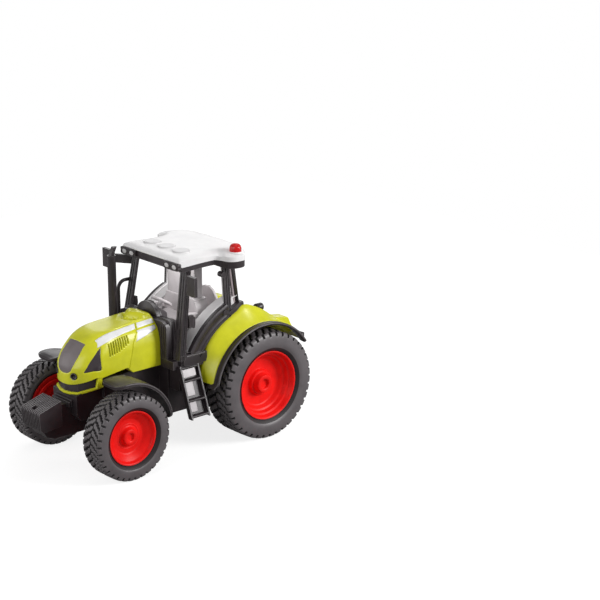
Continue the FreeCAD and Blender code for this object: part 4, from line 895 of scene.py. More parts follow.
def domeMesh():
    # swells up over the rear of the hood from a point
    half, rows = dome["half"], []
    for t in spaced(0, 1, dome["rows"]):
        row = []
        for s in spaced(-1, 1, dome["columns"]):
            edge = dome["point"] + dome["sweep"] * half * abs(s)
            y = edge + (dome["rear"] - edge) * t
            inner, side = min(abs(y - edge) / 4.6, 1), min((1 - abs(s)) * half / 3.6, 1)
            rise = (1 - (1 - inner) ** 2.2) * (1 - (1 - side) ** 2.4) * (1 - 0.12 * s * s)
            back = 1 - 0.42 * ease(-17.0, dome["rear"], y)
            row.append((s * half, y, dome["foot"] + dome["height"] * rise * back))
        rows.append(row)
    points, faces = strips(rows)
    return closedSheet(points, [(x, y, dome["foot"] - 1.2) for x, y, z in points], faces)


makePiece("hood_dome", domeMesh(), "greenPlastic", soften=0)

# nose: dark band with a light lip under it, joined to the hood by a post on each side
chin = {
    # half plan, (x, y); the corner stays sharp
    "plan": [(0, -80.0), (6.0, -79.3), (12.5, -77.0), (14.9, -72.3), (17.0, -67.6), (18.6, -63.0),
             (19.0, -60.2)],
    "bandFoot": [(-80.4, 55.5), (-76.6, 56.6), (-71.4, 57.8), (-65, 58.9), (-60, 59.6)],  # (y, z)
    "lipFoot": [(-80.4, 53.6), (-76.6, 54.7), (-71.4, 55.7), (-65, 57.2), (-60, 58.2)],
    "post": [(-65.9, 58.6), (-61.8, 58.6), (-60.5, 66.4), (-64.2, 67.2)], "postAt": (17.4, 19.6),
}


def chinSweep(section):
    # section(y) gives (out, z) pairs, swept round the nose along the chin's plan
    half = finer(chin["plan"], 1.2)
    line = [(-x, y) for x, y in half[:0:-1]] + half
    rows = []
    for i, (x, y) in enumerate(line):
        along = (Vector(line[min(i + 1, len(line) - 1)]) - Vector(line[max(i - 1, 0)])).normalized()
        rows.append([(x + along.y * out, y - along.x * out, z) for out, z in section(y)])
    return tube(rows)


def bandSection(y):
    top, foot = lineValue(hood["footLine"], y) + 0.4, lineValue(chin["bandFoot"], y) - 0.3
    return [(-0.9, top), (-0.9, foot), (-2.6, foot), (-2.6, top)]


def lipSection(y):
    top, foot = lineValue(chin["bandFoot"], y), lineValue(chin["lipFoot"], y)
    return [(-2.4, top), (0.0, top), (0.5, top - 0.3), (0.6, (top + foot) / 2), (0.45, foot + 0.35),
            (-0.1, foot), (-2.4, foot)]


makePiece("nose_band_strip", chinSweep(bandSection), "darkPanel", soften=0.15, stands=["nose_band"])
makePiece("nose_lip_strip", chinSweep(lipSection), "greenPlastic", soften=0.12, stands=["nose_lip"])
bothSides("nose_post", extruded(chin["post"], "x", *chin["postAt"]), "greenPlastic", soften=0.35)

# the hole in the nose holds a hollow socket and a small clear lamp end: (ahead, radius)
hole = hood["lampHole"][2]
noseLamp = {"socket": [(0.12, hole - 0.05), (0.22, hole - 0.35), (0.05, hole - 0.6), (-1.7, hole - 0.7),
                       (-1.9, 0.3)],
            "end": [(-1.85, 1.3), (-1.1, 1.3), (-0.7, 1.15), (-0.4, 0.75), (-0.28, 0.25)]}


def noseLampMesh(rings, around):
    x, z = hood["lampHole"][:2]
    at = fromNose(skin)(x, z, 0.0)
    ahead = fromNose(skin)(x, z, 1.0) - at
    side = ahead.cross(Vector((0, 0, 1))).normalized()
    up = side.cross(ahead)
    turns = [tau * i / around for i in range(around)]
    return tube([[tuple(at + ahead * depth + (side * cos(a) + up * sin(a)) * r) for a in turns]
                 for depth, r in rings])


bothSides("nose_lamp_socket", noseLampMesh(noseLamp["socket"], 32), "blackPlastic", soften=0)
bothSides("nose_lamp_end", noseLampMesh(noseLamp["end"], 24), "clearLamp", soften=0, stands=["nose_lamps"])
print("hood ready")

roof = {
    # plan of the left half, (x, y)
    "plan": [(0, -3.4), (12, -3.4), (24, -3.4), (31.4, -3.3), (33.1, -1.6), (33.0, 5), (32.3, 12), (31.8, 20),
             (31.8, 27), (32.8, 30.6), (35.4, 32.6), (38.6, 33.6), (41.8, 35.0), (44.2, 38.2), (45.0, 42.0),
             (44.7, 45.6), (42.2, 49.2), (37.4, 52.6), (32.0, 56.0), (26.0, 58.2), (20.0, 59.2), (10, 59.8),
             (0, 60.0)],
    "crown": 142.1, "reach": 9.0, "wingCrown": 140.4, "wing": (30, 41), "side": 140.5, "shellFoot": 138.7,
    "dent": {"at": (33.5, 33.5), "size": (3.6, 2.4), "depth": 0.8},  # where each wing leaves the front part
    "rings": (0.35, 0.9, 1.8, 3.2), "spacing": 2.0, "thin": 0.6,
    "band": {"inset": 0.55, "foot": 133.9, "wall": 1.8, "ceiling": 134.6},
}
roofOutline = wholeOutline(roof["plan"])


def roofHeight(x, y):
    t = min(pathDistance(roofOutline, (x, y), True) / roof["reach"], 1)
    low = roof["side"] - 1.9 * ease(6, 31, y) - 0.6 * (1 - ease(-3.2, 0.5, y))  # top of the shell's side wall
    crown = roof["crown"] + (roof["wingCrown"] - roof["crown"]) * ease(*roof["wing"], abs(x))
    dent = roof["dent"]
    away = hypot((abs(x) - dent["at"][0]) / dent["size"][0], (y - dent["at"][1]) / dent["size"][1])
    return low + (crown - low) * (1 - (1 - t) ** 2.4) - dent["depth"] * (1 - ease(0.3, 1.3, away))


def shellFoot(y):
    # the shell comes down further over the doors than over the windscreen
    return roof["shellFoot"] - 3.2 * ease(-2.9, -1.2, y) - 0.5 * ease(28, 34, y)


def shellMesh():
    inner = [p for amount in roof["rings"] for p in inset(roofOutline, amount)
             if within(roofOutline, p) and pathDistance(roofOutline, p, True) > amount * 0.9]
    flat, triangles = flatMesh(roofOutline, inner, roof["spacing"], 0, roof["rings"][-1] + 0.6)
    top = [(p.x, p.y, roofHeight(p.x, p.y)) for p in flat]
    return closedSheet(top, [(x, y, min(shellFoot(y), z - roof["thin"])) for x, y, z in top], triangles)


def roofBandMesh():
    # dark rim under the shell, with a flat ceiling inside
    band = roof["band"]
    outer = inset(roofOutline, band["inset"])
    inner = inset(outer, band["wall"])
    outerFoot, innerFoot = [[(x, y, band["foot"] - 2.1 * ease(-2.4, -0.6, y) - 1.9 * ease(29, 34, y))
                             for x, y in line] for line in (outer, inner)]
    top = [(x, y, shellFoot(y) + 0.02) for x, y in outer]
    ceiling = [(x, y, band["ceiling"]) for x, y in inner]
    points, faces = strips([top, outerFoot, innerFoot, ceiling], True)
    return points, faces + [tuple(range(3 * len(top), 4 * len(top)))]


makePiece("roof_shell", shellMesh(), "whitePlastic", soften=0.35, stands=["roof"])
makePiece("roof_rim", roofBandMesh(), "blackPlastic", soften=0.3, stands=["roof_frame"])

# two pods, each a rounded block with a pair of oval lamps: ring and lens as (along, radius)
roofLamps = {
    "at": {"inner": 20.6, "outer": 29.0}, "height": 135.9, "front": -4.5, "stretch": 1.5,
    "pod": [(16.6, 133.6), (16.1, 136.2), (16.6, 138.6), (24.8, 139.0), (33.0, 138.6), (33.5, 136.2),
            (33.0, 133.6), (24.8, 133.2)],  # (x, z)
    "podAt": (-4.6, -1.6),
    "ring": [(0.4, 2.45), (-0.35, 2.4), (-0.5, 2.2), (-0.35, 2.0), (0.1, 1.9), (0.4, 1.85), (0.4, 2.45)],
    "lens": [(0.3, 1.95), (0.0, 1.85), (-0.2, 1.3), (-0.3, 0.6), (-0.32, 0.0)],
}
bothSides("roof_lamp_pod", extruded(rounded(roofLamps["pod"]), "y", *roofLamps["podAt"]), "blackPlastic",
          soften=0.3, stands=["roof_lamps"])
for spot, across in roofLamps["at"].items():
    for label, around, finish in (("ring", 40, "blackPlastic"), ("lens", 32, "lampSilver")):
        centre = across, roofLamps["front"], roofLamps["height"]
        points, faces = turned(roofLamps[label], around, centre, "y")
        oval = [(across + (x - across) * roofLamps["stretch"], y, z) for x, y, z in points]
        bothSides("roof_lamp_%s_%s" % (label, spot), (oval, faces), finish, soften=0)

# three round buttons, each in a collar: (height under the top, radius more or less than the button's)
buttonLow, buttonHigh = boxOf("roof_buttons")
buttons = {
    "at": (-16.5, 0.0, 16.5), "y": (buttonLow[1] + buttonHigh[1]) / 2, "top": buttonHigh[2], "radius": 6.2,
    "cap": [(1.6, 0), (0.55, 0), (0.2, -0.25), (0.05, -0.8), (0.1, -2.2), (0.22, -4.5), (0.25, -6.2)],
    "collar": [(1.2, 0.15), (0.85, 0.2), (0.75, 0.45), (0.95, 0.7), (1.5, 0.8), (1.9, 0.2)],
}
# the button caps are painted greyer than the white roof as painted shade
for number, x in enumerate(buttons["at"], 1):
    for label, part, finish, stands in (("button", "cap", "buttonShadedPlastic", ["roof_buttons"]),
                                        ("button_collar", "collar", "whitePlastic", [])):
        profile = [(buttons["top"] - drop, buttons["radius"] + more) for drop, more in buttons[part]]
        makePiece("roof_%s_%d" % (label, number), turned(profile, 56, (x, buttons["y"], 0), "z"), finish,
                  soften=0, stands=stands)

beaconLow, beaconHigh = boxOf("beacon")
beacon = {
    "at": ((beaconLow[0] + beaconHigh[0]) / 2, (beaconLow[1] + beaconHigh[1]) / 2, 0), "foot": beaconLow[2],
    "top": beaconHigh[2], "radius": (beaconHigh[0] - beaconLow[0]) / 2, "straight": 2.6, "steps": 14,
    "collar": [(-1.0, 0.9), (0.2, 0.8), (0.45, 0.5), (0.45, -0.3), (-1.0, -0.3), (-1.0, 0.9)],
}


def beaconProfile():
    # straight for a little way, then domed
    radius, start = beacon["radius"], beacon["foot"] + beacon["straight"]
    profile = [(beacon["foot"] - 0.8, radius)]
    for a in spaced(0, pi / 2, beacon["steps"])[:-1]:
        profile.append((start + (beacon["top"] - start) * sin(a), radius * 0.98 * cos(a) ** 0.9))
    return profile + [(beacon["top"], 0.0)]


makePiece("beacon_dome", turned(beaconProfile(), 56, beacon["at"], "z"), "redLamp", soften=0,
          stands=["beacon"])
collar = [(beacon["foot"] + up, beacon["radius"] + more) for up, more in beacon["collar"]]
makePiece("beacon_collar", turned(collar, 56, beacon["at"], "z"), "whitePlastic", soften=0)
print("roof ready")

cab = {
    "foot": 69.0, "roofBase": 132.0, "midFootHeight": 92.0,
    # plans of the pillars at foot and top, (x, y), with grooves as (edge, start, end, depth)
    "frontFoot": [(28.4, -6.65), (35.6, -6.25), (37.8, -2.85), (35.2, -1.45), (29.0, -3.45)],
    "frontTop": [(25.2, 4.15), (31.2, 4.55), (33.6, 6.95), (32.2, 8.15), (25.6, 6.95)],
    "frontGrooves": [(0, 0.22, 0.42, 0.6), (0, 0.62, 0.80, 0.6), (1, 0.38, 0.62, 0.7)],
    "midFoot": [(34.6, 35.65), (36.6, 35.65), (36.6, 40.85), (34.6, 40.85)],
    "midTop": [(31.6, 35.65), (33.6, 35.65), (33.6, 40.85), (31.6, 40.85)],
    "midGrooves": [(1, 0.30, 0.46, 0.6), (1, 0.66, 0.80, 0.6)],
    "trimFoot": [(33.2, 35.75), (34.55, 35.75), (34.55, 40.75), (33.2, 40.75)],
    "trimTop": [(30.2, 35.75), (31.55, 35.75), (31.55, 40.75), (30.2, 40.75)],
    "sillBack": [(-5.2, 63.0), (19.0, 63.0), (19.0, 72.4), (-5.2, 72.4)],  # (y, z)
    "sillBackAt": (34.4, 36.6),
    "sill": [(-2.9, 65.4), (15.6, 65.4), (16.4, 67.0), (16.4, 71.6), (14.6, 72.9), (-1.8, 72.9),
             (-2.9, 71.4)],
    "sillAt": (34.4, 38.0), "ledge": [(37.9, -1.6, 71.9), (37.9, 14.4, 71.9)], "ledgeRadius": 0.55,
}
# frame over the rear wheel as (x, radius) sections between two angles, and its tail over the fender
arch = {
    "low": 112, "high": 150, "trimLow": 104, "tail": 15.5, "tailInside": 31.6,
    "section": [(32.9, 57.4), (37.4, 57.4), (38.0, 57.8), (38.0, 59.0), (37.5, 59.4), (37.0, 60.0),
                (36.9, 63.0), (37.3, 63.6), (38.0, 64.6), (38.0, 66.6), (37.5, 67.7), (36.6, 68.0),
                (32.9, 68.0)],
    "trim": [(32.3, 57.2), (32.85, 57.2), (32.85, 68.0), (34.0, 68.0), (34.0, 68.3), (32.3, 68.3)],
}
# height of the rear fender's inner ridge over the axle, by the angle up from straight back
ridge = [(30, 47.9), (50, 48.0), (62, 48.4), (70, 49.2), (77, 51.4), (84, 54.0), (90, 56.4), (96, 59.0),
         (100, 59.8), (104, 58.9), (108, 58.0), (114, 57.6), (122, 57.5), (132, 56.6), (140, 55.6),
         (151, 53.2), (160, 51.4), (170, 50.0)]


def grooved(outline, grooves):
    # outline with square grooves: (edge, start, end, depth) with start and end as shares of that edge
    turn = turning(outline)
    result = []
    for i, corner in enumerate(outline):
        a, b = Vector(corner), Vector(outline[(i + 1) % len(outline)])
        result.append(tuple(a))
        inwards = Vector((-(b - a).y, (b - a).x)).normalized() * turn
        for edge, start, end, depth in grooves:
            if edge == i:
                p, q = a.lerp(b, start), a.lerp(b, end)
                result += [tuple(p), tuple(p + inwards * depth), tuple(q + inwards * depth), tuple(q)]
    return result


def leaning(low, high, footHeight, topHeight, grooves=(), steps=10):
    # a pillar between two plans, its grooves fading out near both ends
    rows = []
    for t in spaced(0, 1, steps):
        fade = ease(0.0, 0.06, t) * (1 - ease(0.94, 1.0, t))
        plan = [tuple(Vector(a).lerp(Vector(b), t)) for a, b in zip(low, high)]
        faded = [(edge, start, end, max(depth * fade, 0.01)) for edge, start, end, depth in grooves]
        rows.append([(x, y, footHeight + (topHeight - footHeight) * t) for x, y in grooved(plan, faded)])
    return tube(rows)


def swept(section, axle, low, high, steps):
    # section(turn) gives (x, radius) pairs, swept round an axle between two angles
    return tube([[(x,) + aroundAxle(axle, r, turn) for x, r in section(turn)]
                 for turn in spaced(low, high, steps)])


def fenderRidge(turn):
    return smoothValue(ridge, turn)[0]


def tailSection(turn):
    # the frame narrows behind the middle pillar and rises over the fender's ridge to the rear pillar
    low = fenderRidge(turn) + 0.1
    high = low + 3.6 - 0.8 * ease(106, 99, turn)
    out, inside = 38.0 - 1.6 * ease(107, 99, turn), arch["tailInside"]
    return [(inside, low), (out - 0.5, low), (out, low + 0.5), (out, high - 0.6), (out - 0.5, high),
            (inside, high)]


bothSides("cab_side_frame", joinParts(
    leaning(cab["frontFoot"], cab["frontTop"], cab["foot"], cab["roofBase"], cab["frontGrooves"]),
    leaning(cab["midFoot"], cab["midTop"], cab["midFootHeight"], cab["roofBase"], cab["midGrooves"]),
    extruded(cab["sillBack"], "x", *cab["sillBackAt"]), extruded(rounded(cab["sill"]), "x", *cab["sillAt"]),
    alongLine(cab["ledge"], cab["ledgeRadius"]),
    swept(lambda turn: arch["section"], rearAxle, arch["low"], arch["high"], 40),
    swept(tailSection, rearAxle, arch["low"] + 2, arch["low"] + 2 - arch["tail"], 20)),
    "blackPlastic", soften=0.3, stands=["cab_side_{}"])

# pale linings on the inner sides of the frames and of the wheel arches
lining = {"wall": 23.6, "face": 24.1, "edge": 32.8, "radius": 67.2, "floor": 71.6, "low": 64, "high": 149,
          "rear": 48.6}


def wheelArchLining():
    wall, face, edge, floorZ = (lining[key] for key in ("wall", "face", "edge", "floor"))
    rows = []
    for turn in spaced(lining["low"], lining["high"], 40):
        y, z = aroundAxle(rearAxle, lining["radius"], turn)
        rows.append([(x, min(y, lining["rear"]), h) for x, h in (
            (wall, floorZ), (face, floorZ), (face, z - 0.8), (edge, z - 0.5), (edge, z + 0.1),
            (wall, z + 0.1))])
    return tube(rows)


bothSides("cab_lining", joinParts(
    swept(lambda turn: arch["trim"], rearAxle, arch["trimLow"], arch["high"], 40), wheelArchLining(),
    leaning(cab["trimFoot"], cab["trimTop"], cab["midFootHeight"] + 2, cab["roofBase"])),
    "linerPlastic", soften=0.2)

# broad rear pillars, each with three ribs in its window, coloured a pale pinkish grey as a painted highlight
# and reflection on black plastic: (distance forwards, width)
rearFrame = {
    "outside": 32.8, "inside": 29.4, "foot": 49.35, "top": 43.95, "depth": 2.4, "rail": 93.2, "railRise": 3,
    "panel": 24.2,
    "panelFoot": 69.0, "ribAt": 32.2, "ribs": [(1.6, 1.5), (4.0, 1.1), (6.0, 0.8)], "barAt": 32.4,
    "bars": [(2.9, 0.8), (5.2, 0.7)],
}


def rearPost(plan, low, high):
    # leans forwards from the rail to the roof, its (x, y) plan counted from the rear panel's front
    foot, top = [[(x, y + rearFrame[end]) for x, y in plan] for end in ("foot", "top")]
    return leaning(foot, top, low, high, steps=1)


def windowRibs(ribs, x):
    posts = []
    for forward, width in ribs:
        near, far = -forward - width / 2, -forward + width / 2
        posts.append(rearPost([(x - 0.5, near), (x, near), (x + 0.2, -forward), (x, far), (x - 0.5, far)],
                              rearFrame["rail"] + 1.5, cab["roofBase"] - 0.5))
    return joinParts(*posts)


def rearFrameMesh():
    outside, inside, y, rail = (rearFrame[key] for key in ("outside", "inside", "foot", "rail"))
    depth, wide = rearFrame["depth"], rearFrame["panel"]
    post = rearPost([(inside, 0), (outside, 0), (outside, depth), (inside, depth)], rail, cab["roofBase"])
    return joinParts(block((-wide, y, rearFrame["panelFoot"]), (wide, y + depth, rail)),
                     block((-outside, y, rail), (outside, y + depth, rail + rearFrame["railRise"])),
                     post, mirrorOf(post))


makePiece("cab_rear_frame", rearFrameMesh(), "blackPlastic", soften=0.3, stands=["cab_rear"])
bothSides("rear_window_rib", windowRibs(rearFrame["ribs"], rearFrame["ribAt"]), "ribSheenPlastic", soften=0.15)
bothSides("rear_window_frame", windowRibs(rearFrame["bars"], rearFrame["barAt"]), "blackPlastic", soften=0.15)

cowl = {
    "half": 27.4, "shoulder": 97.5, "archHalf": 12.2, "top": 105.5, "foot": 69.0, "front": -11.05,
    "archSteps": 24,
    # a rim at each end of the arch with a shallow channel between them: (y, inset)
    "rims": [(-7.6, 0.4), (-7.3, 0.0), (-6.8, 0.0), (-6.5, 0.4), (-4.45, 0.4), (-4.15, 0.0), (-3.35, 0.0),
             (-3.05, 0.3)],
    "ribs": (21.35, 23.85, 26.25), "ribHalf": 0.45, "ribHeights": (70.0, 93.5),
    "firewall": [(-27.4, 69.0), (27.4, 69.0), (27.4, 92.5), (26.2, 94.6), (22.0, 96.0), (-22.0, 96.0),
                 (-26.2, 94.6), (-27.4, 92.5)],  # (x, z)
    "dash": [(-3.3, 88.0), (1.5, 88.0), (3.4, 92.0), (2.6, 97.5), (-0.4, 100.5), (-3.3, 101.5)],  # (y, z)
    "dashHalf": 11.0,
}


def cowlOutline():
    half, shoulder = cowl["half"], cowl["shoulder"]
    rise = cowl["top"] - shoulder + 0.6
    radius = rise / 2 + cowl["archHalf"] ** 2 / 2 / rise
    middle = cowl["top"] - radius
    reach = atan2(cowl["archHalf"], shoulder - 0.6 - middle)
    bow = [(radius * sin(a), middle + radius * cos(a)) for a in spaced(reach, -reach, cowl["archSteps"])]
    side = [(half, cowl["foot"]), (half, shoulder - 3.5), (half - 0.9, shoulder - 1.6),
            (half - 3.6, shoulder - 0.3), (cowl["archHalf"] + 2.0, shoulder - 0.6)]
    return [(-half, cowl["foot"])] + side + bow + [(-x, z) for x, z in side[:0:-1]]


def cowlRibs():
    half, (low, high) = cowl["ribHalf"], cowl["ribHeights"]
    return joinParts(*[block((side * x - half, cowl["front"] - 0.5, low),
                             (side * x + half, cowl["front"] + 0.2, high))
                       for x in cowl["ribs"] for side in (1, -1)])


makePiece("cowl_arch", joinParts(
    tube([[(x, y, z) for x, z in inset(cowlOutline(), amount)] for y, amount in cowl["rims"]]),
    extruded(cowl["firewall"], "y", cowl["front"], cowl["rims"][0][0] + 0.2)),
    "blackPlastic", stands=["cowl"])
makePiece("cowl_ribs", cowlRibs(), "blackPlastic", soften=0.2)
makePiece("dashboard", extruded(cowl["dash"], "x", -cowl["dashHalf"], cowl["dashHalf"]), "greyAndSheenPlastic",
          soften=0.9, segments=3)

# seat column, back rest, cushion and pedestal: (outline, steps of its curve, axis, from, to)
seat = [
    ([(-14.6, 23.4), (0, 22.9), (14.6, 23.4), (15.0, 25.0), (15.0, 29.8), (14.2, 31.4), (0, 31.8),
      (-14.2, 31.4), (-15.0, 29.8), (-15.0, 25.0)], 3, "z", 84.0, 133.5),
    ([(-17, 88), (17, 88), (18.8, 92), (18.8, 98), (16.6, 102.5), (14.6, 104), (-14.6, 104), (-16.6, 102.5),
      (-18.8, 98), (-18.8, 92)], 3, "y", 22.6, 33.4),
    ([(-17, 83), (0, 82.6), (17, 83), (18, 86.5), (17, 90.2), (9, 91.0), (0, 90.4), (-9, 91.0), (-17, 90.2),
      (-18, 86.5)], 4, "y", 9.0, 34.0),
    ([(-13, 71.5), (13, 71.5), (11.5, 84), (-11.5, 84)], 1, "y", 13.0, 34.0)]
interior = {
    "bulkhead": [(24.2, 71.6), (24.2, 94.5), (22.0, 97.0), (14.8, 98.0), (11.2, 98.9), (9.4, 101.4),
                 (6.8, 104.6), (2.5, 106.4)],  # half outline, (x, z)
    "bulkheadAt": (46.6, 49.0),
    "armrest": [(8.5, 92.6), (21.5, 91.6), (23.6, 93.4), (21.5, 95.4), (9.0, 96.6)],  # (y, z)
    "armrestAt": (17.2, 20.6),
}
makePiece("seat_moulding", joinParts(*[extruded(rounded(outline, steps), axis, low, high)
                                       for outline, steps, axis, low, high in seat]),
          "palePlastic", soften=0.9, segments=3, stands=["seat"])
bulkhead = interior["bulkhead"] + [(-x, z) for x, z in reversed(interior["bulkhead"])]
makePiece("rear_bulkhead", extruded(bulkhead, "y", *interior["bulkheadAt"]), "palePlastic", soften=0.7,
          segments=3)
bothSides("seat_armrest", extruded(rounded(interior["armrest"]), "x", *interior["armrestAt"]), "palePlastic",
          soften=0.8, segments=3)
print("cab ready")

rearFender = {
    "low": 34, "high": 168.5, "steps": 80, "edge": 46.4, "wallOutside": 26.6, "wallInside": 24.6,
    # raised lamp housing on the inner part of the tail: (y, z), then (x, how far it is lowered)
    "tailBox": [(74.0, 81.0), (77.6, 84.0), (79.4, 84.6), (84.5, 84.0), (89.2, 83.2), (90.7, 82.0),
                (92.6, 78.0), (95.0, 73.0), (90.0, 72.0), (80.0, 78.0)],
    "tailBoxAt": [(30.6, 0.4), (31.0, 0.0), (36.0, 0.0), (40.2, 0.0), (41.0, 0.5)],
    # black lip outside the crown's edge, (x, radius), with its front end hooked forwards
    "lip": [(44.6, 46.2), (44.6, 44.6), (48.6, 44.2), (49.9, 44.2), (50.6, 44.5), (50.9, 45.1), (50.9, 45.9),
            (50.5, 46.4), (49.9, 46.5), (49.2, 46.2), (47.2, 46.0), (46.3, 46.3)],
    "lipLow": 33.0, "lipHigh": 171.5, "lipSteps": 76,
    "bead": {"x": 50.75, "radius": 45.5, "low": 34.5, "thick": 0.5},
}


def fenderSection(turn):
    # crown across the wheel, outer edge first: it climbs from the lip to the ridge beside the cab
    edge, top = rearFender["edge"], fenderRidge(turn)
    climb = top - edge - 1.4
    line = [(46.0, edge - 1.0), (46.0, edge + 0.2), (45.6, edge + 0.55)]
    for t in spaced(0, 1, 12)[1:-1]:
        line.append((45.6 - 8.2 * t, edge + 0.55 + climb * (0.78 * t + 0.22 * t * t)))
    line += [(x, top - drop) for x, drop in (
        (37.0, 0.75), (36.5, 0.25), (36.0, 0), (35.3, -0.05), (34.4, 0.1), (33.0, 0.5), (31.0, 0.9),
        (26.8, 1.1), (26.6, 1.3), (26.6, 3.0), (31.0, 2.7), (35.6, 2.4))]
    return line + [(40.5, edge + climb * 0.55 - 1.2), (45.0, edge - 1.0)]


def fenderLipSection(turn):
    edge, out = rearFender["edge"], 3.2 * ease(166.5, 171.5, turn)
    thin = 1 - 0.45 * ease(167, 171.5, turn)
    return [(x, edge + (r - edge) * thin + out) for x, r in rearFender["lip"]]


def rearFenderMesh():
    # crown, inner wall down to its chord and lamp housing
    wall = [aroundAxle(rearAxle, fenderRidge(turn) - 1.6, turn) for turn in range(34, 169, 2)]
    housing = rounded(rearFender["tailBox"], 3)
    crown = swept(fenderSection, rearAxle, rearFender["low"], rearFender["high"], rearFender["steps"])
    return joinParts(crown, extruded(wall, "x", rearFender["wallInside"], rearFender["wallOutside"]),
                     tube([[(x, y, z - drop) for y, z in housing] for x, drop in rearFender["tailBoxAt"]]))


bothSides("rear_fender_shell", rearFenderMesh(), "greenPlastic", stands=["rear_fender_{}"])
fenderLip = swept(fenderLipSection, rearAxle, rearFender["lipLow"], rearFender["lipHigh"],
                  rearFender["lipSteps"])
bothSides("rear_fender_lip", fenderLip, "blackPlastic", soften=0.15, stands=["fender_lip_{}"])

# work lamps beside the ridge, drum as (along, radius), and lamp blocks at the tails
workLamp = {
    "at": (30.2, 71.0, 92.0), "stalk": (1.5, 1.2), "stalkHeights": (85.5, 91.0),
    "drum": [(-3.2, 0.0), (-3.2, 2.3), (-2.7, 2.9), (2.3, 2.9), (2.9, 2.7), (3.2, 2.3), (3.0, 2.0),
             (2.4, 1.6), (2.6, 0.0)],
}
tailLamp = {"low": (37.2, 99.4, 64.9), "high": (44.4, 103.2, 69.2), "sink": 0.3, "aside": 1.75,
            "lens": [(-0.4, 1.25), (0.15, 1.2), (0.3, 0.8), (0.35, 0.0)]}


def workLampMesh():
    (x, y, z), (wide, deep) = workLamp["at"], workLamp["stalk"]
    foot = [(x - wide, y - deep), (x + wide, y - deep), (x + wide, y + deep), (x - wide, y + deep)]
    return joinParts(turned(workLamp["drum"], 40, (x, y, z), "y"),
                     extruded(rounded(foot, 3), "z", *workLamp["stalkHeights"]))


def tailLampMesh():
    # lamp block with two shallow lens fields in its rear face
    (x0, y0, z0), (x1, y1, z1) = tailLamp["low"], tailLamp["high"]
    middle, sink = (x0 + x1) / 2, tailLamp["sink"]
    rows = []
    for y, s in ((y0, sink), (y0 + sink, 0), (y1 - sink, 0), (y1, sink)):
        columns = (x0 + s, middle, x1 - s)
        rows.append([(x, y, z0 + s) for x in columns] + [(x, y, z1 - s) for x in columns[::-1]])
    lenses = [turned(tailLamp["lens"], 28, (x, y1, (z0 + z1) / 2), "y") for x in
              (middle - tailLamp["aside"], middle + tailLamp["aside"])]
    return joinParts(tube(rows), *lenses)


bothSides("fender_work_lamp", workLampMesh(), "blackPlastic", soften=0, stands=["fender_lamps"])
bothSides("fender_tail_lamp", tailLampMesh(), "blackPlastic", soften=0, stands=["tail_lamps"])

frontFender = {
    "inner": 29.0, "outer": 50.4, "radius": 36.6, "low": 6, "high": 104, "corner": 6.5, "spans": 60,
    "columns": 18,
    "crown": 0.9, "middle": 39.7, "reach": 10.7, "bead": {"radius": 37.5, "thick": 0.55, "steps": 48},
    "arms": [((15.0, -57.9, 58.5), (30.0, -49.9, 61.0)), ((29.0, -57.9, 58.5), (31.0, -49.9, 67.6)),
             ((14.0, -57.9, 49.0), (17.0, -49.9, 61.0))],
}


def frontFenderMesh():
    # rounded plan, with a small raised edge all round and a shallow crown
    low, high, radius, corner = (frontFender[key] for key in ("low", "high", "radius", "corner"))
    length = radians(high - low) * radius
    upper, lower = [], []
    for s in spaced(0, 1, frontFender["spans"]):
        nearEnd = min(s * length, length - s * length)
        cut = corner - sqrt(max(corner ** 2 - max(corner - nearEnd, 0) ** 2, 0))
        x0, x1 = frontFender["inner"] + cut * 0.7, frontFender["outer"] - cut
        turn = low + (high - low) * s
        above, below = [], []
        for t in spaced(0, 1, frontFender["columns"]):
            x = x0 + (x1 - x0) * (0.5 - 0.5 * cos(pi * t))
            edge = min(x - x0, x1 - x, nearEnd)
            crown = frontFender["crown"] * (1 - ((x - frontFender["middle"]) / frontFender["reach"]) ** 2)
            rim = 0.45 * (1 - ease(0.9, 1.8, edge)) - 0.35 * (1 - ease(0.0, 0.5, edge))
            under = 0.6 * crown * ease(1, 6, nearEnd) - 0.5 * (1 - ease(0.4, 1.4, edge))
            above.append((x,) + aroundAxle(frontAxle, radius + 1.1 + crown * ease(0, 4, nearEnd) + rim, turn))
            below.append((x,) + aroundAxle(frontAxle, radius - 0.2 + under, turn))
        upper.append(above)
        lower.append(below)
    points, faces = strips(upper)
    return closedSheet(points, [p for row in lower for p in row], faces)


def rearBead():
    bead = rearFender["bead"]
    line = [(bead["x"],) + aroundAxle(rearAxle, bead["radius"], turn)
            for turn in spaced(bead["low"], rearFender["high"], 60)]
    return alongLine(line, bead["thick"])


def frontBead():
    # bead along the guard's outer edge and round its ends
    bead = frontFender["bead"]
    line = []
    for step, turn in enumerate(spaced(frontFender["low"] + 7, frontFender["high"] - 7, bead["steps"])):
        fade = 1 - ease(0, 5, step) + ease(43, 48, step)
        line.append((frontFender["outer"] - 0.15 - 0.9 * fade ** 2,)
                    + aroundAxle(frontAxle, bead["radius"], turn))
    return alongLine(line, bead["thick"])


# the beads are light grey on black edges as a painted highlight line
bothSides("front_fender_bead", frontBead(), "greyAndSheenPlastic", soften=0)
bothSides("rear_fender_bead", rearBead(), "greyAndSheenPlastic", soften=0)
guard = joinParts(frontFenderMesh(), *[block(*corners) for corners in frontFender["arms"]])
bothSides("front_fender_guard", guard, "blackPlastic", soften=0.2, stands=["front_fender_{}"])
print("fenders ready")

ladder = {
    "top": (38.0, 63.0), "bottom": (50.4, 29.0), "front": -7.35, "rear": 9.35, "rail": 1.3,
    "railHeights": (29.0, 65.5),
    "depth": 4.2, "treads": (64.2, 55.6, 42.2, 31.6), "treadThick": 1.5, "back": (30.0, 63.0),
    "backFront": 3.6,
    "bracket": [(24.0, 46.0), (34.6, 46.0), (34.6, 63.0), (24.0, 63.0)],  # (x, z)
    "bracketAt": (-6.05, -2.05),
    "plates": ((57.2, 63.8, -5.6, 5.8), (44.8, 55.2, -5.6, 1.2), (34.0, 41.4, -5.6, 0.2)), "plateFront": 0.9,
}


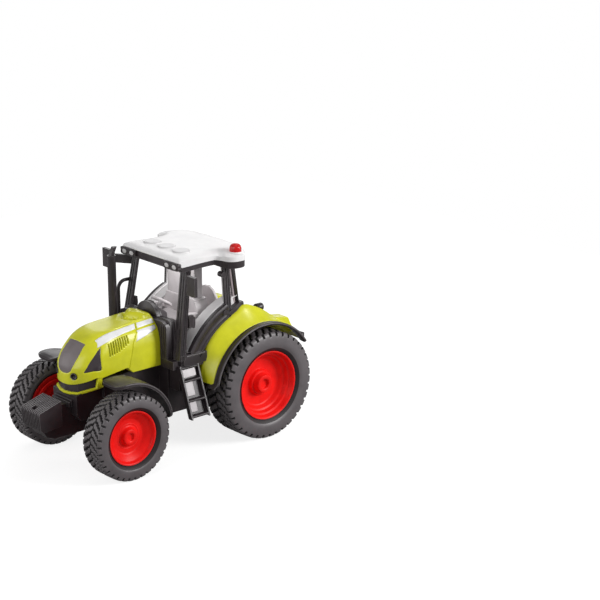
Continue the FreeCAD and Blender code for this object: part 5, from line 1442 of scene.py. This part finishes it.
def ladderFace(z, out=0.0):
    (x0, z0), (x1, z1) = ladder["top"], ladder["bottom"]
    return x0 + (x1 - x0) * (z0 - z) / (z0 - z1) + out, z


def ladderPlate(low, high, behind, front, y0, y1):
    # a slab along the ladder's slanted face, between two distances behind it
    corners = (low, behind), (low, front), (high, front), (high, behind)
    return extruded([ladderFace(z, -back) for z, back in corners], "y", y0, y1)


def ladderMesh():
    front, rear, depth = ladder["front"], ladder["rear"], ladder["depth"]
    parts = [ladderPlate(*ladder["railHeights"], depth, 0, y, y + ladder["rail"])
             for y in (front, rear - ladder["rail"])]
    for z in ladder["treads"]:
        x = {out: ladderFace(z, out)[0] for out in (-depth, 0.2, 0.5)}
        under = z - ladder["treadThick"]
        parts.append(extruded([(x[-depth], under), (x[0.2], under), (x[0.5], z - 0.4), (x[0.2], z),
                               (x[-depth], z)],
                              "y", front + 0.4, rear - 0.4))
    parts.append(ladderPlate(*ladder["back"], depth, ladder["backFront"], front + 0.5, rear - 0.5))
    return joinParts(extruded(ladder["bracket"], "y", *ladder["bracketAt"]), *parts)


def stepPlateMesh():
    return joinParts(*[ladderPlate(low, high, ladder["backFront"], ladder["plateFront"], front, rear)
                       for low, high, front, rear in ladder["plates"]])


bothSides("step_ladder", ladderMesh(), "blackPlastic", soften=0.2, stands=["steps_{}"])
bothSides("step_plate", stepPlateMesh(), "platePlastic", soften=0.3, stands=["step_plates_{}"])
print("steps ready")

# latch standing off the foot of each front pillar, (y, z)
latch = {"outline": [(1.5, 91.5), (1.5, 96.0), (5.4, 96.8), (6.8, 99.0), (8.7, 98.7), (9.1, 94.0),
                     (8.6, 90.4), (7.1, 90.4), (6.8, 92.8)], "at": (32.4, 35.0)}
bothSides("door_latch", extruded(latch["outline"], "x", *latch["at"]), "blackPlastic", soften=0.3)

# ribbed weight ahead of the nose, with a notch through two of its ribs
weight = {
    "half": 11.3, "front": -108.3, "rear": -90.0, "low": 47.7, "high": 53.1, "foot": 33.4, "ribs": 12,
    "ribWidth": 1.15,
    "wall": 0.06, "grooveDepth": 0.9, "notch": (-106.2, -102.4), "notchDepth": 3.2, "notchHalf": 2.2,
}


def weightTop(y):
    return lineValue([(weight["front"], weight["low"]), (weight["rear"], weight["high"])], y)


def weightRow(x, sunk):
    # closed outline of the weight at x, in its side view
    front, rear, foot = weight["front"] + sunk, weight["rear"], weight["foot"]
    cut = max(weight["notchDepth"] if abs(x) < weight["notchHalf"] else 0, sunk)
    near, far = weight["notch"]
    tops = [(front + 0.5, front + 0.5, sunk), (near, near, sunk), (near + 0.1, near, cut),
            (far - 0.1, far, cut), (far, far, sunk), (rear, rear, sunk)]
    line = [(rear, foot + 1.6), (front + 2.6, foot), (front + 0.9, foot + 2.4),
            (front, weight["low"] - 1.2 - sunk)]
    return [(x, y, z) for y, z in line + [(y, weightTop(at) - drop) for y, at, drop in tops]]


def weightMesh():
    # every rib has two rows, and a sunk row stands in the groove on each side of it
    width, wall, deep = weight["ribWidth"], weight["wall"], weight["grooveDepth"]
    rows = []
    for x in spaced(-weight["half"], weight["half"] - width, weight["ribs"] - 1):
        rows += [weightRow(x - wall, deep), weightRow(x, 0), weightRow(x + width, 0),
                 weightRow(x + width + wall, deep)]
    return tube(rows[1:-1])


# rib crests, tops and upper front ends, which get a light grey as a painted highlight
def onRib(place, normal):
    crest = place.z > weightTop(place.y) - 0.3 or (place.y < weight["front"] + 0.3 and place.z > 37)
    return crest and abs(normal.x) < 0.5


weightPiece = makePiece("front_weight_block", weightMesh(), "blackPlastic", soften=0.12,
                        stands=["front_weight"])
secondFinish(weightPiece, "greyAndSheenPlastic", onRib)

# neck between weight and chassis, with three small steps under the nose: (y, z) outlines
neck = {
    "side": [(-104.6, 34.6), (-104.6, 36.4), (-90.5, 49.0), (-66.0, 49.0), (-66.0, 25.5), (-94.0, 25.5),
             (-100.5, 28.1)],
    "half": 7.6, "steps": [(-83.2, 50.2), (-81.3, 51.3), (-79.4, 52.3)], "stepFoot": 46.5, "stepDepth": 1.2,
    "stepHalf": 10.3,
    "shelf": [(-82.6, 45.6), (-82.6, 48.8), (-77.6, 50.6), (-77.6, 52.6), (-66.0, 52.6), (-66.0, 45.6)],
    "shelfHalf": 7.2,
}


def neckMesh():
    parts = [extruded(neck["side"], "x", -neck["half"], neck["half"]),
             extruded(neck["shelf"], "x", -neck["shelfHalf"], neck["shelfHalf"])]
    for y, z in neck["steps"]:
        foot, rear = neck["stepFoot"], y + neck["stepDepth"]
        parts.append(extruded([(y, foot), (y, z - 0.3), (y + 0.3, z), (rear, z), (rear, foot)], "x",
                              -neck["stepHalf"], neck["stepHalf"]))
    return joinParts(*parts)


makePiece("weight_neck", neckMesh(), "blackPlastic", soften=0.15, stands=["weight_bracket"])
print("weight ready")

# every CAD node that still shows gets its slot's finish and softened edges
finishOf = {slot: name for name, slot in reversed(slotOf.items())}
slots = {part["node"]: part["material_slot"] for part in frame["record"]["subparts"]}
paleNodes = ("steering_wheel", "steering_column")
for name, node in nodes.items():
    node.data.materials.clear()
    node.data.materials.append(materials["palePlastic" if name in paleNodes else finishOf[slots[name]]])
    if not node.hide_render:
        edge = node.modifiers.new("soft edges", "BEVEL")
        edge.width = 0.25 * mm
        edge.segments = 2
        edge.limit_method = "ANGLE"
        edge.angle_limit = radians(35)
print("CAD nodes finished")
